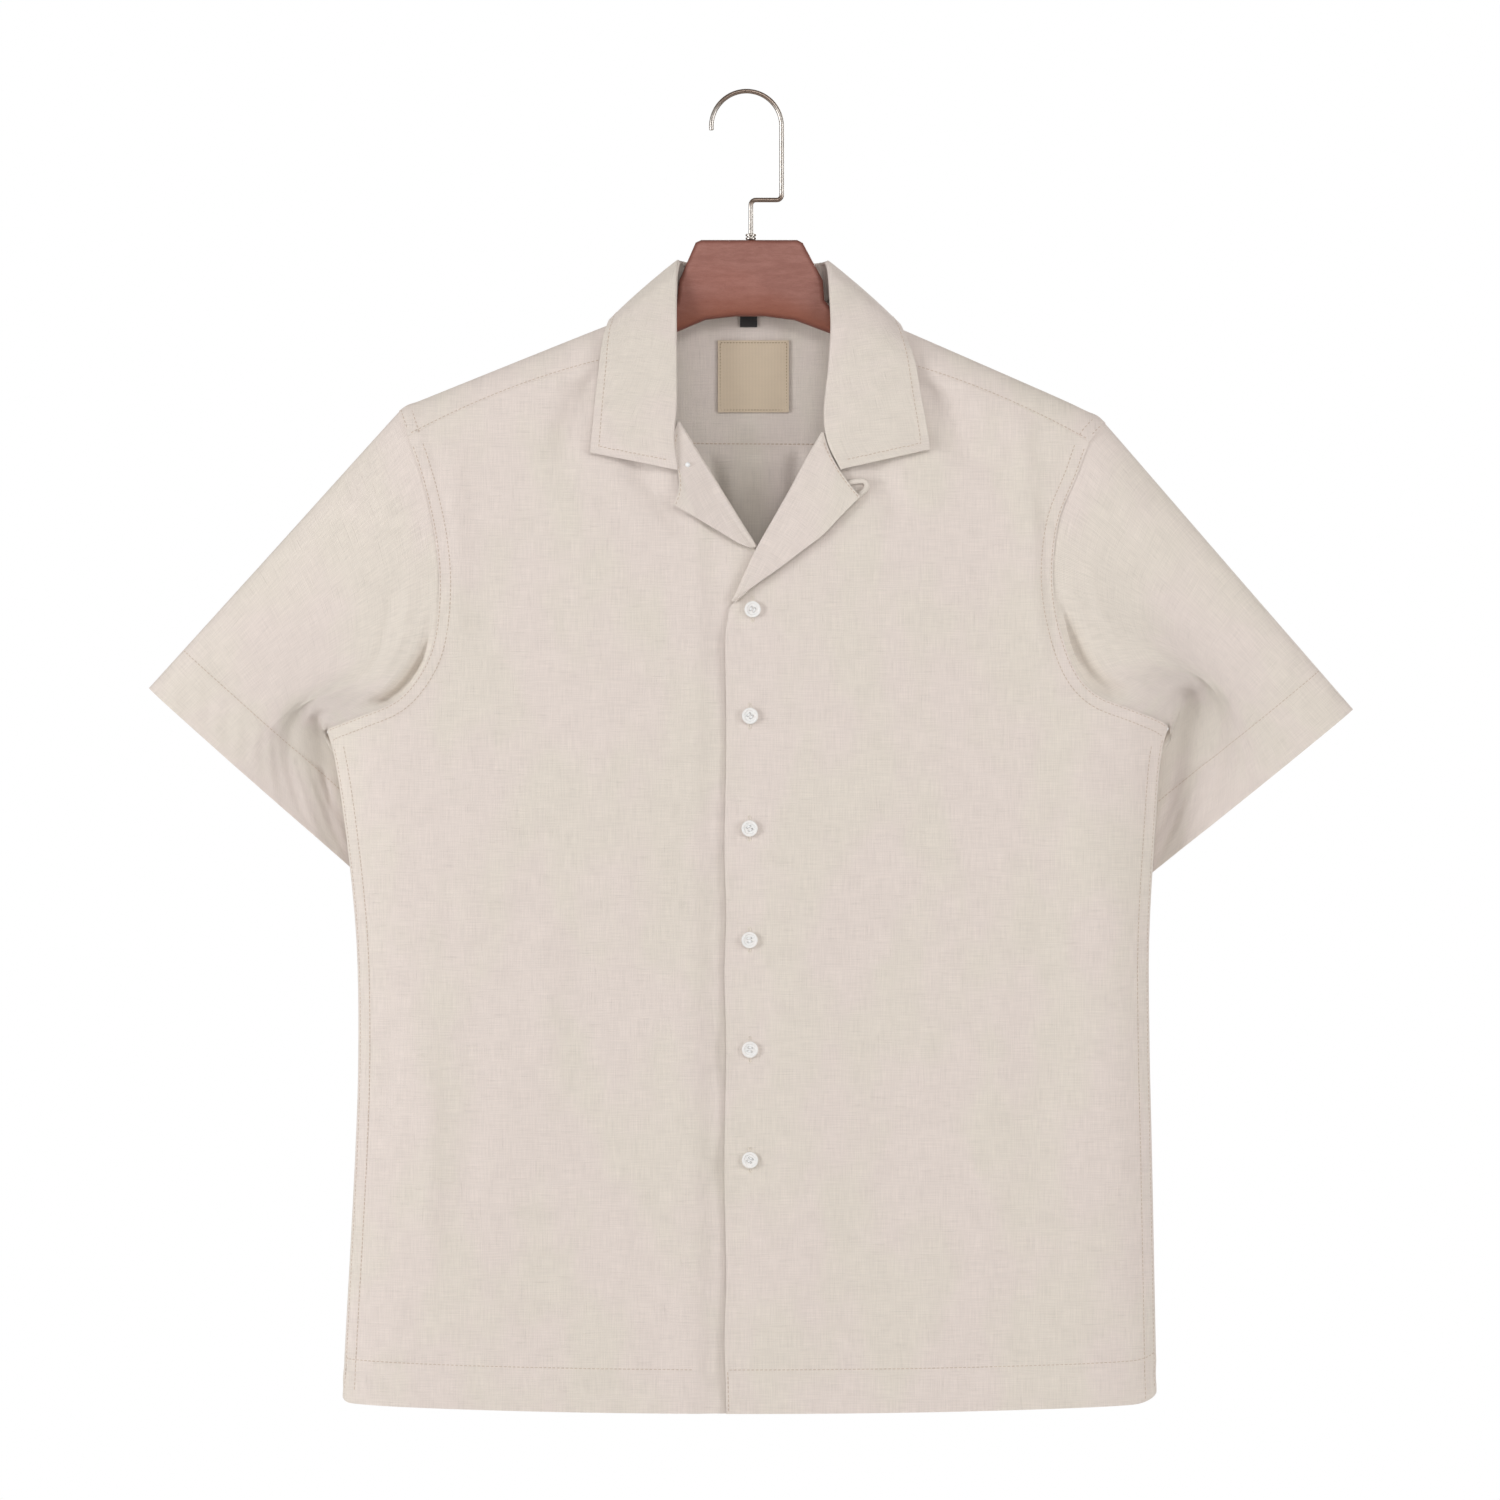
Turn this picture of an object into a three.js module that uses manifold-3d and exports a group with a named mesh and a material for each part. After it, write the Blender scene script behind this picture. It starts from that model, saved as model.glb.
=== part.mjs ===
// A short-sleeved linen camp shirt hanging on a wooden hanger.
// Millimetres, +Z up, the front of the shirt faces -Y and +X is the wearer's left.
// The origin is the point inside the top of the hook where a rail touches it.
import * as THREE from "three";
import { mergeVertices } from "three/addons/utils/BufferGeometryUtils.js";
import Module from "manifold-3d";

// ---------------------------------------------------------------- driving sizes
const CLOTH = 1.2; // wall of one panel
const COLLAR_CLOTH = 1.6; // collar, two plies and interlining
const SEAM_GAP = 0.3; // between pieces that are sewn together
const ARMHOLE_GAP = 0.39; // where a body panel meets a sleeve
const TOP_ROUND = 32; // how far below the shoulder line the cloth is still rounding
const SIDE_ROUND = 45; // the same beside the side seams
const ROLL_RADIUS = 2; // where a lapel turns back
const COLLAR_RADIUS = 2.1; // where the collar turns over
const OVERLAP_DROP = 2.2; // the under front lies this far behind the top front
const BUTTON_DIAMETER = 11.3;
const BUTTON_THICK = 2.6;
const HANGER_THICK = 12;
const HANGER_BEVEL = 3.5;
const WIRE = 3.2;

// Half the depth of the hanging shirt, front to back, against height.
const DEPTH = [
  { z: -950, half: 18 },
  { z: -750, half: 19 },
  { z: -560, half: 21 },
  { z: -430, half: 20 },
  { z: -300, half: 17 },
  { z: -200, half: 14.5 },
  { z: -100, half: 13.5 },
];

// The upper outline of each side: neck, shoulder, then the top fold of the sleeve.
const TOP_LINE = {
  right: [
    { x: -58, z: -146 },
    { x: -125, z: -172.6 },
    { x: -226.8, z: -213.6 },
    { x: -241.5, z: -219.5 },
    { x: -252, z: -228.6 },
    { x: -303, z: -284.6 },
    { x: -404.6, z: -396.6 },
    { x: -420.7, z: -416.2 },
  ],
  left: [
    { x: 58, z: -144.5 },
    { x: 123, z: -172.6 },
    { x: 219, z: -214.6 },
    { x: 243.6, z: -226.5 },
    { x: 259.7, z: -242.6 },
    { x: 296, z: -284.6 },
    { x: 407.4, z: -411 },
    { x: 422.1, z: -431 },
  ],
};

// The side folds below the armholes, from the pit to the hem.
const SIDE_LINE = {
  right: [
    { x: -295.8, z: -445.9 },
    { x: -290.2, z: -466 },
    { x: -282.4, z: -518 },
    { x: -275.1, z: -592 },
    { x: -273.7, z: -668 },
    { x: -276, z: -745 },
    { x: -282.8, z: -872 },
    { x: -284.9, z: -915 },
  ],
  left: [
    { x: 292.4, z: -443 },
    { x: 287, z: -466 },
    { x: 283, z: -518 },
    { x: 279, z: -592 },
    { x: 279.3, z: -668 },
    { x: 281, z: -745 },
    { x: 283.5, z: -872 },
    { x: 284.2, z: -913 },
  ],
};

// The armhole seams, the same on the front and the back. Part runs from 0 at the
// shoulder to 1 at the pit, and swing lifts the sleeve's cloth over the armpit.
const ARMHOLE = {
  right: [
    { part: 0, x: -245, z: -222.5, swing: 0 },
    { part: 0.06, x: -238.6, z: -241, swing: 0 },
    { part: 0.13, x: -228, z: -274, swing: 0 },
    { part: 0.2, x: -220, z: -310, swing: 0 },
    { part: 0.28, x: -217, z: -344, swing: 0 },
    { part: 0.36, x: -220, z: -380, swing: 0 },
    { part: 0.42, x: -229, z: -404.5, swing: 4 },
    { part: 0.48, x: -246.4, z: -425, swing: 15 },
    { part: 0.62, x: -273, z: -436.5, swing: 42 },
    { part: 0.92, x: -291, z: -443.2, swing: 68 },
    { part: 1, x: -295.8, z: -445.9, swing: 37 },
  ],
  left: [
    { part: 0, x: 248.5, z: -231.4, swing: 0 },
    { part: 0.06, x: 236.6, z: -244.7, swing: 0 },
    { part: 0.13, x: 228, z: -268, swing: 0 },
    { part: 0.2, x: 215.5, z: -300, swing: 0 },
    { part: 0.28, x: 211.2, z: -338, swing: 0 },
    { part: 0.36, x: 215.6, z: -372.4, swing: 0 },
    { part: 0.42, x: 226, z: -403, swing: 8 },
    { part: 0.48, x: 241.3, z: -420.9, swing: 28 },
    { part: 0.62, x: 266, z: -431, swing: 60 },
    { part: 0.92, x: 285, z: -438.5, swing: 80 },
    { part: 1, x: 292.4, z: -443, swing: 41 },
  ],
};

// The open end of each sleeve: the tip of its top fold and its underarm corner.
const CUFF = {
  right: { tip: { x: -420.7, z: -416.2 }, corner: { x: -264.6, z: -556.2 } },
  left: { tip: { x: 422.1, z: -431 }, corner: { x: 266, z: -559 } },
};
const CUFF_HALF_DEPTH = 11;
const UNDERARM_BACK = 25; // the underarm fold hangs this far behind the middle

// The inner edge of each front from the hem to the yoke: front edge, roll line, then
// neck seam. The upper ten rows end on the armhole, pit first.
const FRONT_EDGE = {
  left: [
    { x: -17.2, z: -922.3 },
    { x: -17.2, z: -872 },
    { x: -17.2, z: -745 },
    { x: -17.2, z: -668 },
    { x: -17.2, z: -592 },
    { x: -17.2, z: -514 },
    { x: -17.2, z: -440 },
    { x: -17, z: -400 },
    { x: -16.7, z: -382 },
    { x: -14.6, z: -362.2 },
    { x: -8.2, z: -352.6 },
    { x: -0.8, z: -335.4 },
    { x: 6.9, z: -319.2 },
    { x: 30, z: -278.3 },
    { x: 52.6, z: -237.2 },
    { x: 59.9, z: -209 },
    { x: 67.2, z: -181 },
  ],
  right: [
    { x: 17.5, z: -922.3 },
    { x: 17.5, z: -872 },
    { x: 17.5, z: -745 },
    { x: 17.5, z: -668 },
    { x: 17.5, z: -592 },
    { x: 17.5, z: -514 },
    { x: 17.5, z: -440 },
    { x: 17.5, z: -400 },
    { x: 16.5, z: -375 },
    { x: 13, z: -352 },
    { x: 8, z: -334 },
    { x: 2.9, z: -319 },
    { x: -10.5, z: -297.5 },
    { x: -25.1, z: -273.4 },
    { x: -52.9, z: -228.6 },
    { x: -59.9, z: -206 },
    { x: -67.2, z: -181 },
  ],
};
const NECK_CORNER = { x: 67.2, z: -181 }; // where yoke, front and collar meet
const YOKE_RIDGE_X = 62; // the shoulder line starts here, just outside the collar
const YOKE_SEAM_X = 60; // the back seam's columns start here
const FRONT_TOP_BOW = 8; // how far the front yoke seam rises above a straight line
const BACK_YOKE_BOW = -3; // the back yoke seam sags in the middle

// Two soft folds that drop from the back yoke seam.
const BACK_FOLDS = [
  { x: -23, width: 9, depth: 3.5, top: -250, length: 150 },
  { x: 31, width: 8, depth: 3, top: -250, length: 120 },
];

// Lapels: from the break up to the gorge, the roll line and the free edge.
const LAPEL = {
  left: [
    { rollX: -12.8, rollZ: -355.6, edgeX: -8.9, edgeZ: -354.6 },
    { rollX: -10.8, rollZ: -352.9, edgeX: -1.5, edgeZ: -348.3 },
    { rollX: -2.8, rollZ: -335.4, edgeX: 21.7, edgeZ: -331.9 },
    { rollX: 4.9, rollZ: -319.2, edgeX: 36, edgeZ: -321 },
    { rollX: 16.5, rollZ: -298.7, edgeX: 50.7, edgeZ: -309.8 },
    { rollX: 28, rollZ: -278.3, edgeX: 62, edgeZ: -298 },
    { rollX: 39, rollZ: -257.5, edgeX: 70, edgeZ: -289.8 },
    { rollX: 50.3, rollZ: -238.2, edgeX: 76.8, edgeZ: -283.2, bow: -3.8 },
  ],
  right: [
    { rollX: 4.5, rollZ: -317.6, edgeX: -1.2, edgeZ: -318 },
    { rollX: -2, rollZ: -307.5, edgeX: -8.6, edgeZ: -315 },
    { rollX: -12, rollZ: -291.5, edgeX: -18.5, edgeZ: -309 },
    { rollX: -23.1, rollZ: -273.4, edgeX: -30.6, edgeZ: -301.8 },
    { rollX: -37, rollZ: -251.2, edgeX: -42, edgeZ: -295 },
    { rollX: -49.2, rollZ: -230.9, edgeX: -53.4, edgeZ: -288.5, bow: 3.4 },
  ],
};

// Collar sections from the centre back to the front end: the neck seam, the top of the
// roll and the outer edge. The first five lie over the back, the others over the front.
const COLLAR = {
  left: [
    { neckX: 0, neckZ: -148, rollX: 0, rollY: 17.5, rollZ: -119, edgeX: 0, edgeZ: -168 },
    { neckX: 30, neckZ: -148, rollX: 29, rollY: 15.5, rollZ: -118.6, edgeX: 40, edgeZ: -167 },
    { neckX: 50, neckZ: -147, rollX: 47, rollY: 9, rollZ: -118.2, edgeX: 78, edgeZ: -165 },
    { neckX: 55, neckZ: -145.2, rollX: 51.4, rollY: 4, rollZ: -118, edgeX: 94, edgeZ: -164 },
    { neckX: 58, neckZ: -144.5, rollX: 53.2, rollY: -1.5, rollZ: -118.4, edgeX: 102, edgeZ: -163.6 },
    { neckX: 58.8, neckZ: -150, rollX: 54, rollY: -6.5, rollZ: -123, edgeX: 106.5, edgeZ: -169.5 },
    { neckX: 59.5, neckZ: -156, rollX: 54.6, rollY: -11, rollZ: -131, edgeX: 109.6, edgeZ: -176 },
    { neckX: 63.6, neckZ: -170, rollX: 55.6, rollY: -15.4, rollZ: -150, edgeX: 113, edgeZ: -184 },
    { neckX: 67.2, neckZ: -181, rollX: 56, rollY: -17.4, rollZ: -166, edgeX: 115.6, edgeZ: -193 },
    { neckX: 61.7, neckZ: -202, rollX: 54.4, rollY: -18.4, rollZ: -192, edgeX: 119.4, edgeZ: -214 },
    { neckX: 54.6, neckZ: -229.5, rollX: 51.2, rollY: -19, rollZ: -224, edgeX: 123.6, edgeZ: -237 },
    { neckX: 57, neckZ: -246, rollX: 53.8, rollY: -19.4, rollZ: -245, edgeX: 124.8, edgeZ: -246 },
    { neckX: 66, neckZ: -264.2, rollX: 63.1, rollY: -19.6, rollZ: -264.6, edgeX: 125.2, edgeZ: -250.2 },
  ],
  right: [
    { neckX: 0, neckZ: -148, rollX: 0, rollY: 17.5, rollZ: -119, edgeX: 0, edgeZ: -168 },
    { neckX: -30, neckZ: -148, rollX: -27, rollY: 15.5, rollZ: -118.4, edgeX: -40, edgeZ: -168 },
    { neckX: -50, neckZ: -147.6, rollX: -43.5, rollY: 9, rollZ: -117.6, edgeX: -74, edgeZ: -165 },
    { neckX: -55, neckZ: -146.4, rollX: -47.6, rollY: 4, rollZ: -117.4, edgeX: -88, edgeZ: -162.5 },
    { neckX: -58, neckZ: -146, rollX: -49.2, rollY: -1.5, rollZ: -118, edgeX: -95.9, edgeZ: -161 },
    { neckX: -58.8, neckZ: -151, rollX: -49.9, rollY: -6.5, rollZ: -123, edgeX: -100, edgeZ: -167.5 },
    { neckX: -59.5, neckZ: -157, rollX: -50.6, rollY: -11, rollZ: -131, edgeX: -102.4, edgeZ: -175 },
    { neckX: -63.6, neckZ: -170, rollX: -51, rollY: -15.4, rollZ: -150, edgeX: -104.4, edgeZ: -186 },
    { neckX: -67.2, neckZ: -181, rollX: -51, rollY: -17.4, rollZ: -166, edgeX: -105.6, edgeZ: -196 },
    { neckX: -61.2, neckZ: -202, rollX: -50.7, rollY: -18.4, rollZ: -192, edgeX: -108, edgeZ: -216 },
    { neckX: -54.8, neckZ: -223, rollX: -50.8, rollY: -19, rollZ: -220, edgeX: -110, edgeZ: -237 },
    { neckX: -56, neckZ: -243, rollX: -52.6, rollY: -19.4, rollZ: -242, edgeX: -111.2, edgeZ: -248 },
    { neckX: -53, neckZ: -263.2, rollX: -49.9, rollY: -19.6, rollZ: -264, edgeX: -111.6, edgeZ: -252.4 },
  ],
};
const COLLAR_BACK_SECTIONS = 5;
const COLLAR_FREE_SECTIONS = 3; // past the neck seam, at each front end
const LEAF_LIFT = { left: 3, right: 2.7 }; // the collar's outer edge over the shirt

const BUTTONS = [
  { x: 1.8, z: -361.6 },
  { x: 0, z: -435.8 },
  { x: -0.3, z: -514.2 },
  { x: -0.3, z: -591.9 },
  { x: 0, z: -668.2 },
  { x: 0, z: -745.2 },
];
const NECK_LABEL = { left: -22.6, right: 27.3, top: -172, bottom: -222.5, thick: 0.8 };
const SIZE_TAG = { left: -7, right: 5, top: -149.5, bottom: -162.8, thick: 0.6 };
const LOOP = [
  { x: 71.6, z: -271.4 },
  { x: 75.5, z: -270.2 },
  { x: 79.5, z: -269.6 },
  { x: 82.8, z: -273 },
  { x: 82.2, z: -277.6 },
  { x: 78.6, z: -281.6 },
];
// Hanger arms, out from the neck: depth below the shoulder line, and their height.
const HANGER_ARM = [
  { x: 60, drop: 10, height: 14 },
  { x: 90, drop: 3.6, height: 27 },
  { x: 150, drop: 3.4, height: 25 },
  { x: 200, drop: 3.4, height: 22 },
  { x: 222, drop: 3.6, height: 18 },
  { x: 230, drop: 6, height: 12 },
];
const HANGER_NECK = [
  { x: -51.5, z: -146 },
  { x: -49.5, z: -131 },
  { x: -38, z: -104.6 },
  { x: -34, z: -102.8 },
  { x: 33, z: -102.8 },
  { x: 37, z: -104.8 },
  { x: 51, z: -131 },
  { x: 52, z: -144.5 },
];
const HANGER_TOP = -102.8;
const HANGER_ARC = [
  { x: 31, z: -158.6 },
  { x: 10, z: -156 },
  { x: -10, z: -156 },
  { x: -31, z: -158.4 },
];
const HOOK = {
  centreX: -2.45,
  centreZ: -23,
  radius: 24.6,
  tipAngle: 3.24,
  jogZ: -74.6,
  bend: 3.5,
  stemX: 0.6,
  stemBottom: -98,
};
const HOOK_STEPS = 60;
const FERRULE = { radius: 3.75, waist: 2.6 };
const SIDES = ["right", "left"];

// ---------------------------------------------------------------- materials
const PAINT = {
  linen: { color: 0xddd2ca, roughness: 0.9 },
  label: { color: 0xc6b59d, roughness: 0.7 },
  tag: { color: 0x1b1919, roughness: 0.6 },
  pearl: { color: 0xe8e8e7, roughness: 0.3 },
  walnut: { color: 0x8a4f42, roughness: 0.35 },
  chrome: { color: 0xd9d6d0, roughness: 0.2, metalness: 1 },
};

const shirt = new THREE.Group();

function add(name, geometry, paint) {
  const mesh = new THREE.Mesh(geometry, new THREE.MeshStandardMaterial(PAINT[paint]));
  mesh.name = name;
  shirt.add(mesh);
}

// ---------------------------------------------------------------- the hanging form
const { clamp, lerp, smoothstep } = THREE.MathUtils;
const vec = (x, y, z) => new THREE.Vector3(x, y, z);

// Straight-line reading of a table's column against z or any other key.
function read(table, column, key, at) {
  let k = table.findIndex((row) => (row[key] - at) * (table[0][key] - at) <= 0);
  k = clamp(k, 1, table.length - 1);
  const [a, b] = [table[k - 1], table[k]];
  return lerp(a[column], b[column], clamp((at - a[key]) / (b[key] - a[key]), 0, 1));
}

// Distance from an outline, positive inside the shirt.
function inside(line, side, x, z) {
  const turn = side === "right" ? 1 : -1;
  let best = Infinity;
  let sign = 1;
  for (let k = 1; k < line.length; k++) {
    const [a, b] = [line[k - 1], line[k]];
    const [dx, dz] = [b.x - a.x, b.z - a.z];
    const along = ((x - a.x) * dx + (z - a.z) * dz) / (dx * dx + dz * dz);
    const t = clamp(along, 0, 1);
    const far = Math.hypot(x - a.x - dx * t, z - a.z - dz * t);
    if (far >= best - 1e-9) continue;
    best = far;
    const beyondEnd = (k === 1 && along < 0) || (k === line.length - 1 && along > 1);
    sign = beyondEnd ? 1 : Math.sign(turn * (dx * (z - a.z) - dz * (x - a.x))) || 1;
  }
  return sign * best;
}

const roundOff = (t) => 1 - (1 - Math.min(t, 1)) ** 2;

function depthSquared(x, z) {
  const side = x < 0 ? "right" : "left";
  const half = read(DEPTH, "half", "z", z);
  const top = roundOff(inside(TOP_LINE[side], side, x, z) / TOP_ROUND);
  const edge = roundOff(inside(SIDE_LINE[side], side, x, z) / SIDE_ROUND);
  return half * half * top * edge;
}

const depth = (x, z) => Math.sqrt(Math.max(depthSquared(x, z), 0));

// The outward normal of the form, for a face of -1 (front) or 1 (back).
function formNormal(x, z, face) {
  const step = 0.5;
  const gx = (depthSquared(x + step, z) - depthSquared(x - step, z)) / (2 * step);
  const gz = (depthSquared(x, z + step) - depthSquared(x, z - step)) / (2 * step);
  return vec(-gx, 2 * face * depth(x, z), -gz).normalize();
}

function formPoint(x, z, face, lift = 0) {
  const normal = formNormal(x, z, face);
  const point = vec(x, face * (depth(x, z) + SEAM_GAP / 2), z).addScaledVector(normal, lift);
  return { point, normal };
}

function between(a, b, t) {
  return { x: lerp(a.x, b.x, t), z: lerp(a.z, b.z, t) };
}

// ---------------------------------------------------------------- closed walls
function closedGeometry(points, triangles) {
  const geometry = new THREE.BufferGeometry().setFromPoints(points);
  let volume = 0;
  for (let k = 0; k < triangles.length; k += 3) {
    const [a, b, c] = triangles.slice(k, k + 3).map((n) => points[n]);
    volume += a.dot(b.clone().cross(c));
  }
  geometry.setIndex(volume > 0 ? triangles : triangles.reverse());
  geometry.computeVertexNormals();
  return geometry;
}

// A cloth wall between a grid of outer points and the same grid moved in along its
// normals. A ring's last column joins its first.
function wall(rows, thickness, ring = false) {
  const [height, width] = [rows.length, rows[0].length];
  const outer = rows.flat().map((spot) => spot.point);
  const inner = rows.flat().map((s) => s.point.clone().addScaledVector(s.normal, -thickness));
  const back = outer.length;
  const at = (i, j) => i * width + (j % width);
  const triangles = [];
  const quad = (a, b, c, d) => triangles.push(a, b, c, a, c, d);
  const rim = (a, b) => quad(a, b, back + b, back + a);
  const columns = ring ? width : width - 1;
  for (let i = 0; i < height - 1; i++) {
    for (let j = 0; j < columns; j++) {
      const [a, b, c, d] = [at(i, j), at(i, j + 1), at(i + 1, j + 1), at(i + 1, j)];
      quad(a, b, c, d);
      quad(back + d, back + c, back + b, back + a);
    }
  }
  for (let j = 0; j < columns; j++) {
    rim(at(0, j + 1), at(0, j));
    rim(at(height - 1, j), at(height - 1, j + 1));
  }
  for (let i = 0; i < height - 1 && !ring; i++) {
    rim(at(i, 0), at(i + 1, 0));
    rim(at(i + 1, width - 1), at(i, width - 1));
  }
  return closedGeometry([...outer, ...inner], triangles);
}

// Normals from a grid of bare points, all turned to the same side.
function withNormals(grid, turn, ring = false) {
  const last = grid.length - 1;
  const width = grid[0].length;
  return grid.map((row, i) =>
    row.map((point, j) => {
      const before = ring ? (j + width - 1) % width : Math.max(j - 1, 0);
      const after = ring ? (j + 1) % width : Math.min(j + 1, width - 1);
      const across = row[after].clone().sub(row[before]);
      const along = grid[Math.min(i + 1, last)][j].clone().sub(grid[Math.max(i - 1, 0)][j]);
      return { point, normal: across.cross(along).normalize().multiplyScalar(turn) };
    }),
  );
}

// ---------------------------------------------------------------- body panels
const PANEL_STEPS = [0, 0.1, 0.13, 0.19, 0.34, 0.52, 0.7, 0.85, 0.91, 0.955, 0.985, 1];
const BACK_STEPS = [
  0, 0.005, 0.02, 0.05, 0.1, 0.18, 0.3, 0.42, 0.44, 0.455, 0.475, 0.51, 0.54, 0.56, 0.58, 0.61, 0.7,
  0.82, 0.9, 0.95, 0.98, 0.995, 1,
];
const ROUND_STEPS = [0.2, 0.45, 0.72, 1]; // over a fold, as square roots of the distance

// The outer ends of a body panel's rows, from the hem up to the yoke. Those on the
// armhole stand back from the seam by the gap.
function outerEnds(side) {
  const inward = side === "right" ? 1 : -1;
  const armhole = ARMHOLE[side].filter((row) => row.part > 0).reverse();
  const ends = armhole.map(({ x, z }, k) => {
    const before = armhole[Math.max(k - 1, 0)];
    const after = armhole[Math.min(k + 1, armhole.length - 1)];
    const [dx, dz] = [after.x - before.x, after.z - before.z];
    const gap = (ARMHOLE_GAP * inward) / Math.hypot(dx, dz);
    return { x: x + dz * gap, z: z - dx * gap };
  });
  return SIDE_LINE[side].slice(1).reverse().concat(ends);
}

// The under front drops behind the top front where they overlap.
function frontPoint(side, x, z, lift = 0) {
  const spot = formPoint(x, z, -1, lift);
  if (side === "right") spot.point.y += OVERLAP_DROP * smoothstep(x, -40, -24);
  return spot;
}

function frontPanel(side) {
  const ends = outerEnds(side);
  const top = ends.length - 1;
  return FRONT_EDGE[side].map((inner, k) => {
    const outer = ends[k];
    return PANEL_STEPS.map((step) => {
      const at = between(inner, outer, step);
      const rise = k === top ? FRONT_TOP_BOW * 4 * step * (1 - step) - SEAM_GAP : 0;
      return frontPoint(side, at.x, at.z + rise);
    });
  });
}

function backFold(x, z) {
  return BACK_FOLDS.reduce((sum, fold) => {
    const down = clamp((fold.top - z) / fold.length, 0, 1);
    const across = Math.exp(-(((x - fold.x) / fold.width) ** 2));
    return sum + fold.depth * across * Math.sin(Math.PI * Math.sqrt(down));
  }, 0);
}

const backSeamRise = (step) => BACK_YOKE_BOW * 4 * step * (1 - step);

function backPanel() {
  const [rightEnds, leftEnds] = [outerEnds("right"), outerEnds("left")];
  const top = rightEnds.length - 1;
  return rightEnds.map((right, k) => {
    return BACK_STEPS.map((step) => {
      const at = between(right, leftEnds[k], step);
      const z = k === top ? at.z + backSeamRise(step) - SEAM_GAP : at.z;
      const spot = formPoint(at.x, z, 1);
      spot.point.y += backFold(at.x, z);
      return spot;
    });
  });
}

// ---------------------------------------------------------------- yoke
const YOKE_NECK_SECTIONS = 8; // collar sections whose neck end is sewn to the yoke
const SEAM_TO_NECK = 0.94; // the back columns lean in slightly towards the seam
const NECK_SQUEEZE = 0.03; // share of a back column that is drawn up against the neck
// Columns that fan out round the neck: ridge is out from the neck's end, seam is x.
const NECK_FAN = [
  { ridge: 2.8, seam: 58 },
  { ridge: 1.7, seam: 56.5 },
  { ridge: 0.6, seam: 55 },
];

function topZ(side, x) {
  return read(TOP_LINE[side], "z", "x", x);
}

// One column of the yoke: up the back from the yoke seam, over the shoulder line, and
// down the front to its end.
function shoulderColumn(ridge, back, front) {
  const over = ROUND_STEPS.map((step) => [between(ridge, front, step * step), -1]);
  const behind = ROUND_STEPS.map((step) => [between(ridge, back, step * step), 1]);
  const top = formPoint(ridge.x, ridge.z, 1);
  top.point.y = 0;
  const spots = (list) => list.map(([at, face]) => formPoint(at.x, at.z, face));
  return [...spots(behind).reverse(), top, ...spots(over)];
}

// A column that stops at the back neck seam, its last rows drawn together there.
function neckColumn(neck, back) {
  const below = ROUND_STEPS.map((step) => lerp(NECK_SQUEEZE, 1, step * step)).reverse();
  const close = [1, ...ROUND_STEPS.map((step) => 1 - step)].map((step) => NECK_SQUEEZE * step);
  return [...below, ...close].map((part) => {
    const at = between(neck, back, part);
    return formPoint(at.x, at.z, 1);
  });
}

function backSeamPoint(x) {
  const [right, left] = ["right", "left"].map((side) => ARMHOLE[side][1]);
  const step = (x - right.x) / (left.x - right.x);
  return { x, z: lerp(right.z, left.z, step) + backSeamRise(step) };
}

function yokeHalf(side) {
  const out = side === "right" ? -1 : 1;
  const [top, corner] = ARMHOLE[side];
  const neckCorner = { x: out * NECK_CORNER.x, z: NECK_CORNER.z };
  const columns = PANEL_STEPS.map((step) => {
    const trim = step === 1 ? SEAM_GAP : 0;
    const ridgeX = lerp(out * YOKE_RIDGE_X, top.x, step) - out * trim;
    const front = between(neckCorner, corner, step);
    front.x -= out * trim;
    front.z += FRONT_TOP_BOW * 4 * step * (1 - step);
    const back = backSeamPoint(lerp(out * YOKE_SEAM_X, corner.x, step) - out * trim);
    return shoulderColumn({ x: ridgeX, z: topZ(side, ridgeX) }, back, front);
  }).reverse();
  const necks = COLLAR[side].map((row) => ({ x: row.neckX, z: row.neckZ }));
  const end = TOP_LINE[side][0];
  const frontNecks = necks.slice(COLLAR_BACK_SECTIONS, YOKE_NECK_SECTIONS).reverse();
  frontNecks.forEach((front, n) => {
    const ridgeX = end.x + out * NECK_FAN[n].ridge;
    const ridge = { x: ridgeX, z: topZ(side, ridgeX) };
    columns.push(shoulderColumn(ridge, backSeamPoint(out * NECK_FAN[n].seam), front));
  });
  const backNecks = necks.slice(1, COLLAR_BACK_SECTIONS).reverse();
  backNecks.forEach((neck) => {
    columns.push(neckColumn(neck, backSeamPoint(neck.x * SEAM_TO_NECK)));
  });
  return columns;
}

function yoke() {
  const { neckX, neckZ } = COLLAR.left[0];
  const middle = neckColumn({ x: neckX, z: neckZ }, backSeamPoint(neckX));
  return [...yokeHalf("right"), middle, ...yokeHalf("left").reverse()];
}

// ---------------------------------------------------------------- sleeves
const SLEEVE_PARTS = [0, ...ROUND_STEPS.map((step) => 0.06 * step * step)].concat([
  0.13, 0.2, 0.28, 0.36, 0.42, 0.48, 0.62, 0.77, 0.92, 0.98, 1,
]);
const SLEEVE_RINGS = [0, 0.08, 0.2, 0.36, 0.54, 0.72, 0.87, 1];
const CUFF_ROUND = 25; // how far the sleeve's folds round off
const BLEND_TOP = 0.6; // share of the length in which it takes its own depth
const BLEND_UNDER = 0.25;
const SWING_OUT = 0.42;
const SWING_UP = 0.91;
const TUCK = 7; // how far the underarm fold is drawn in behind the side

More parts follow.
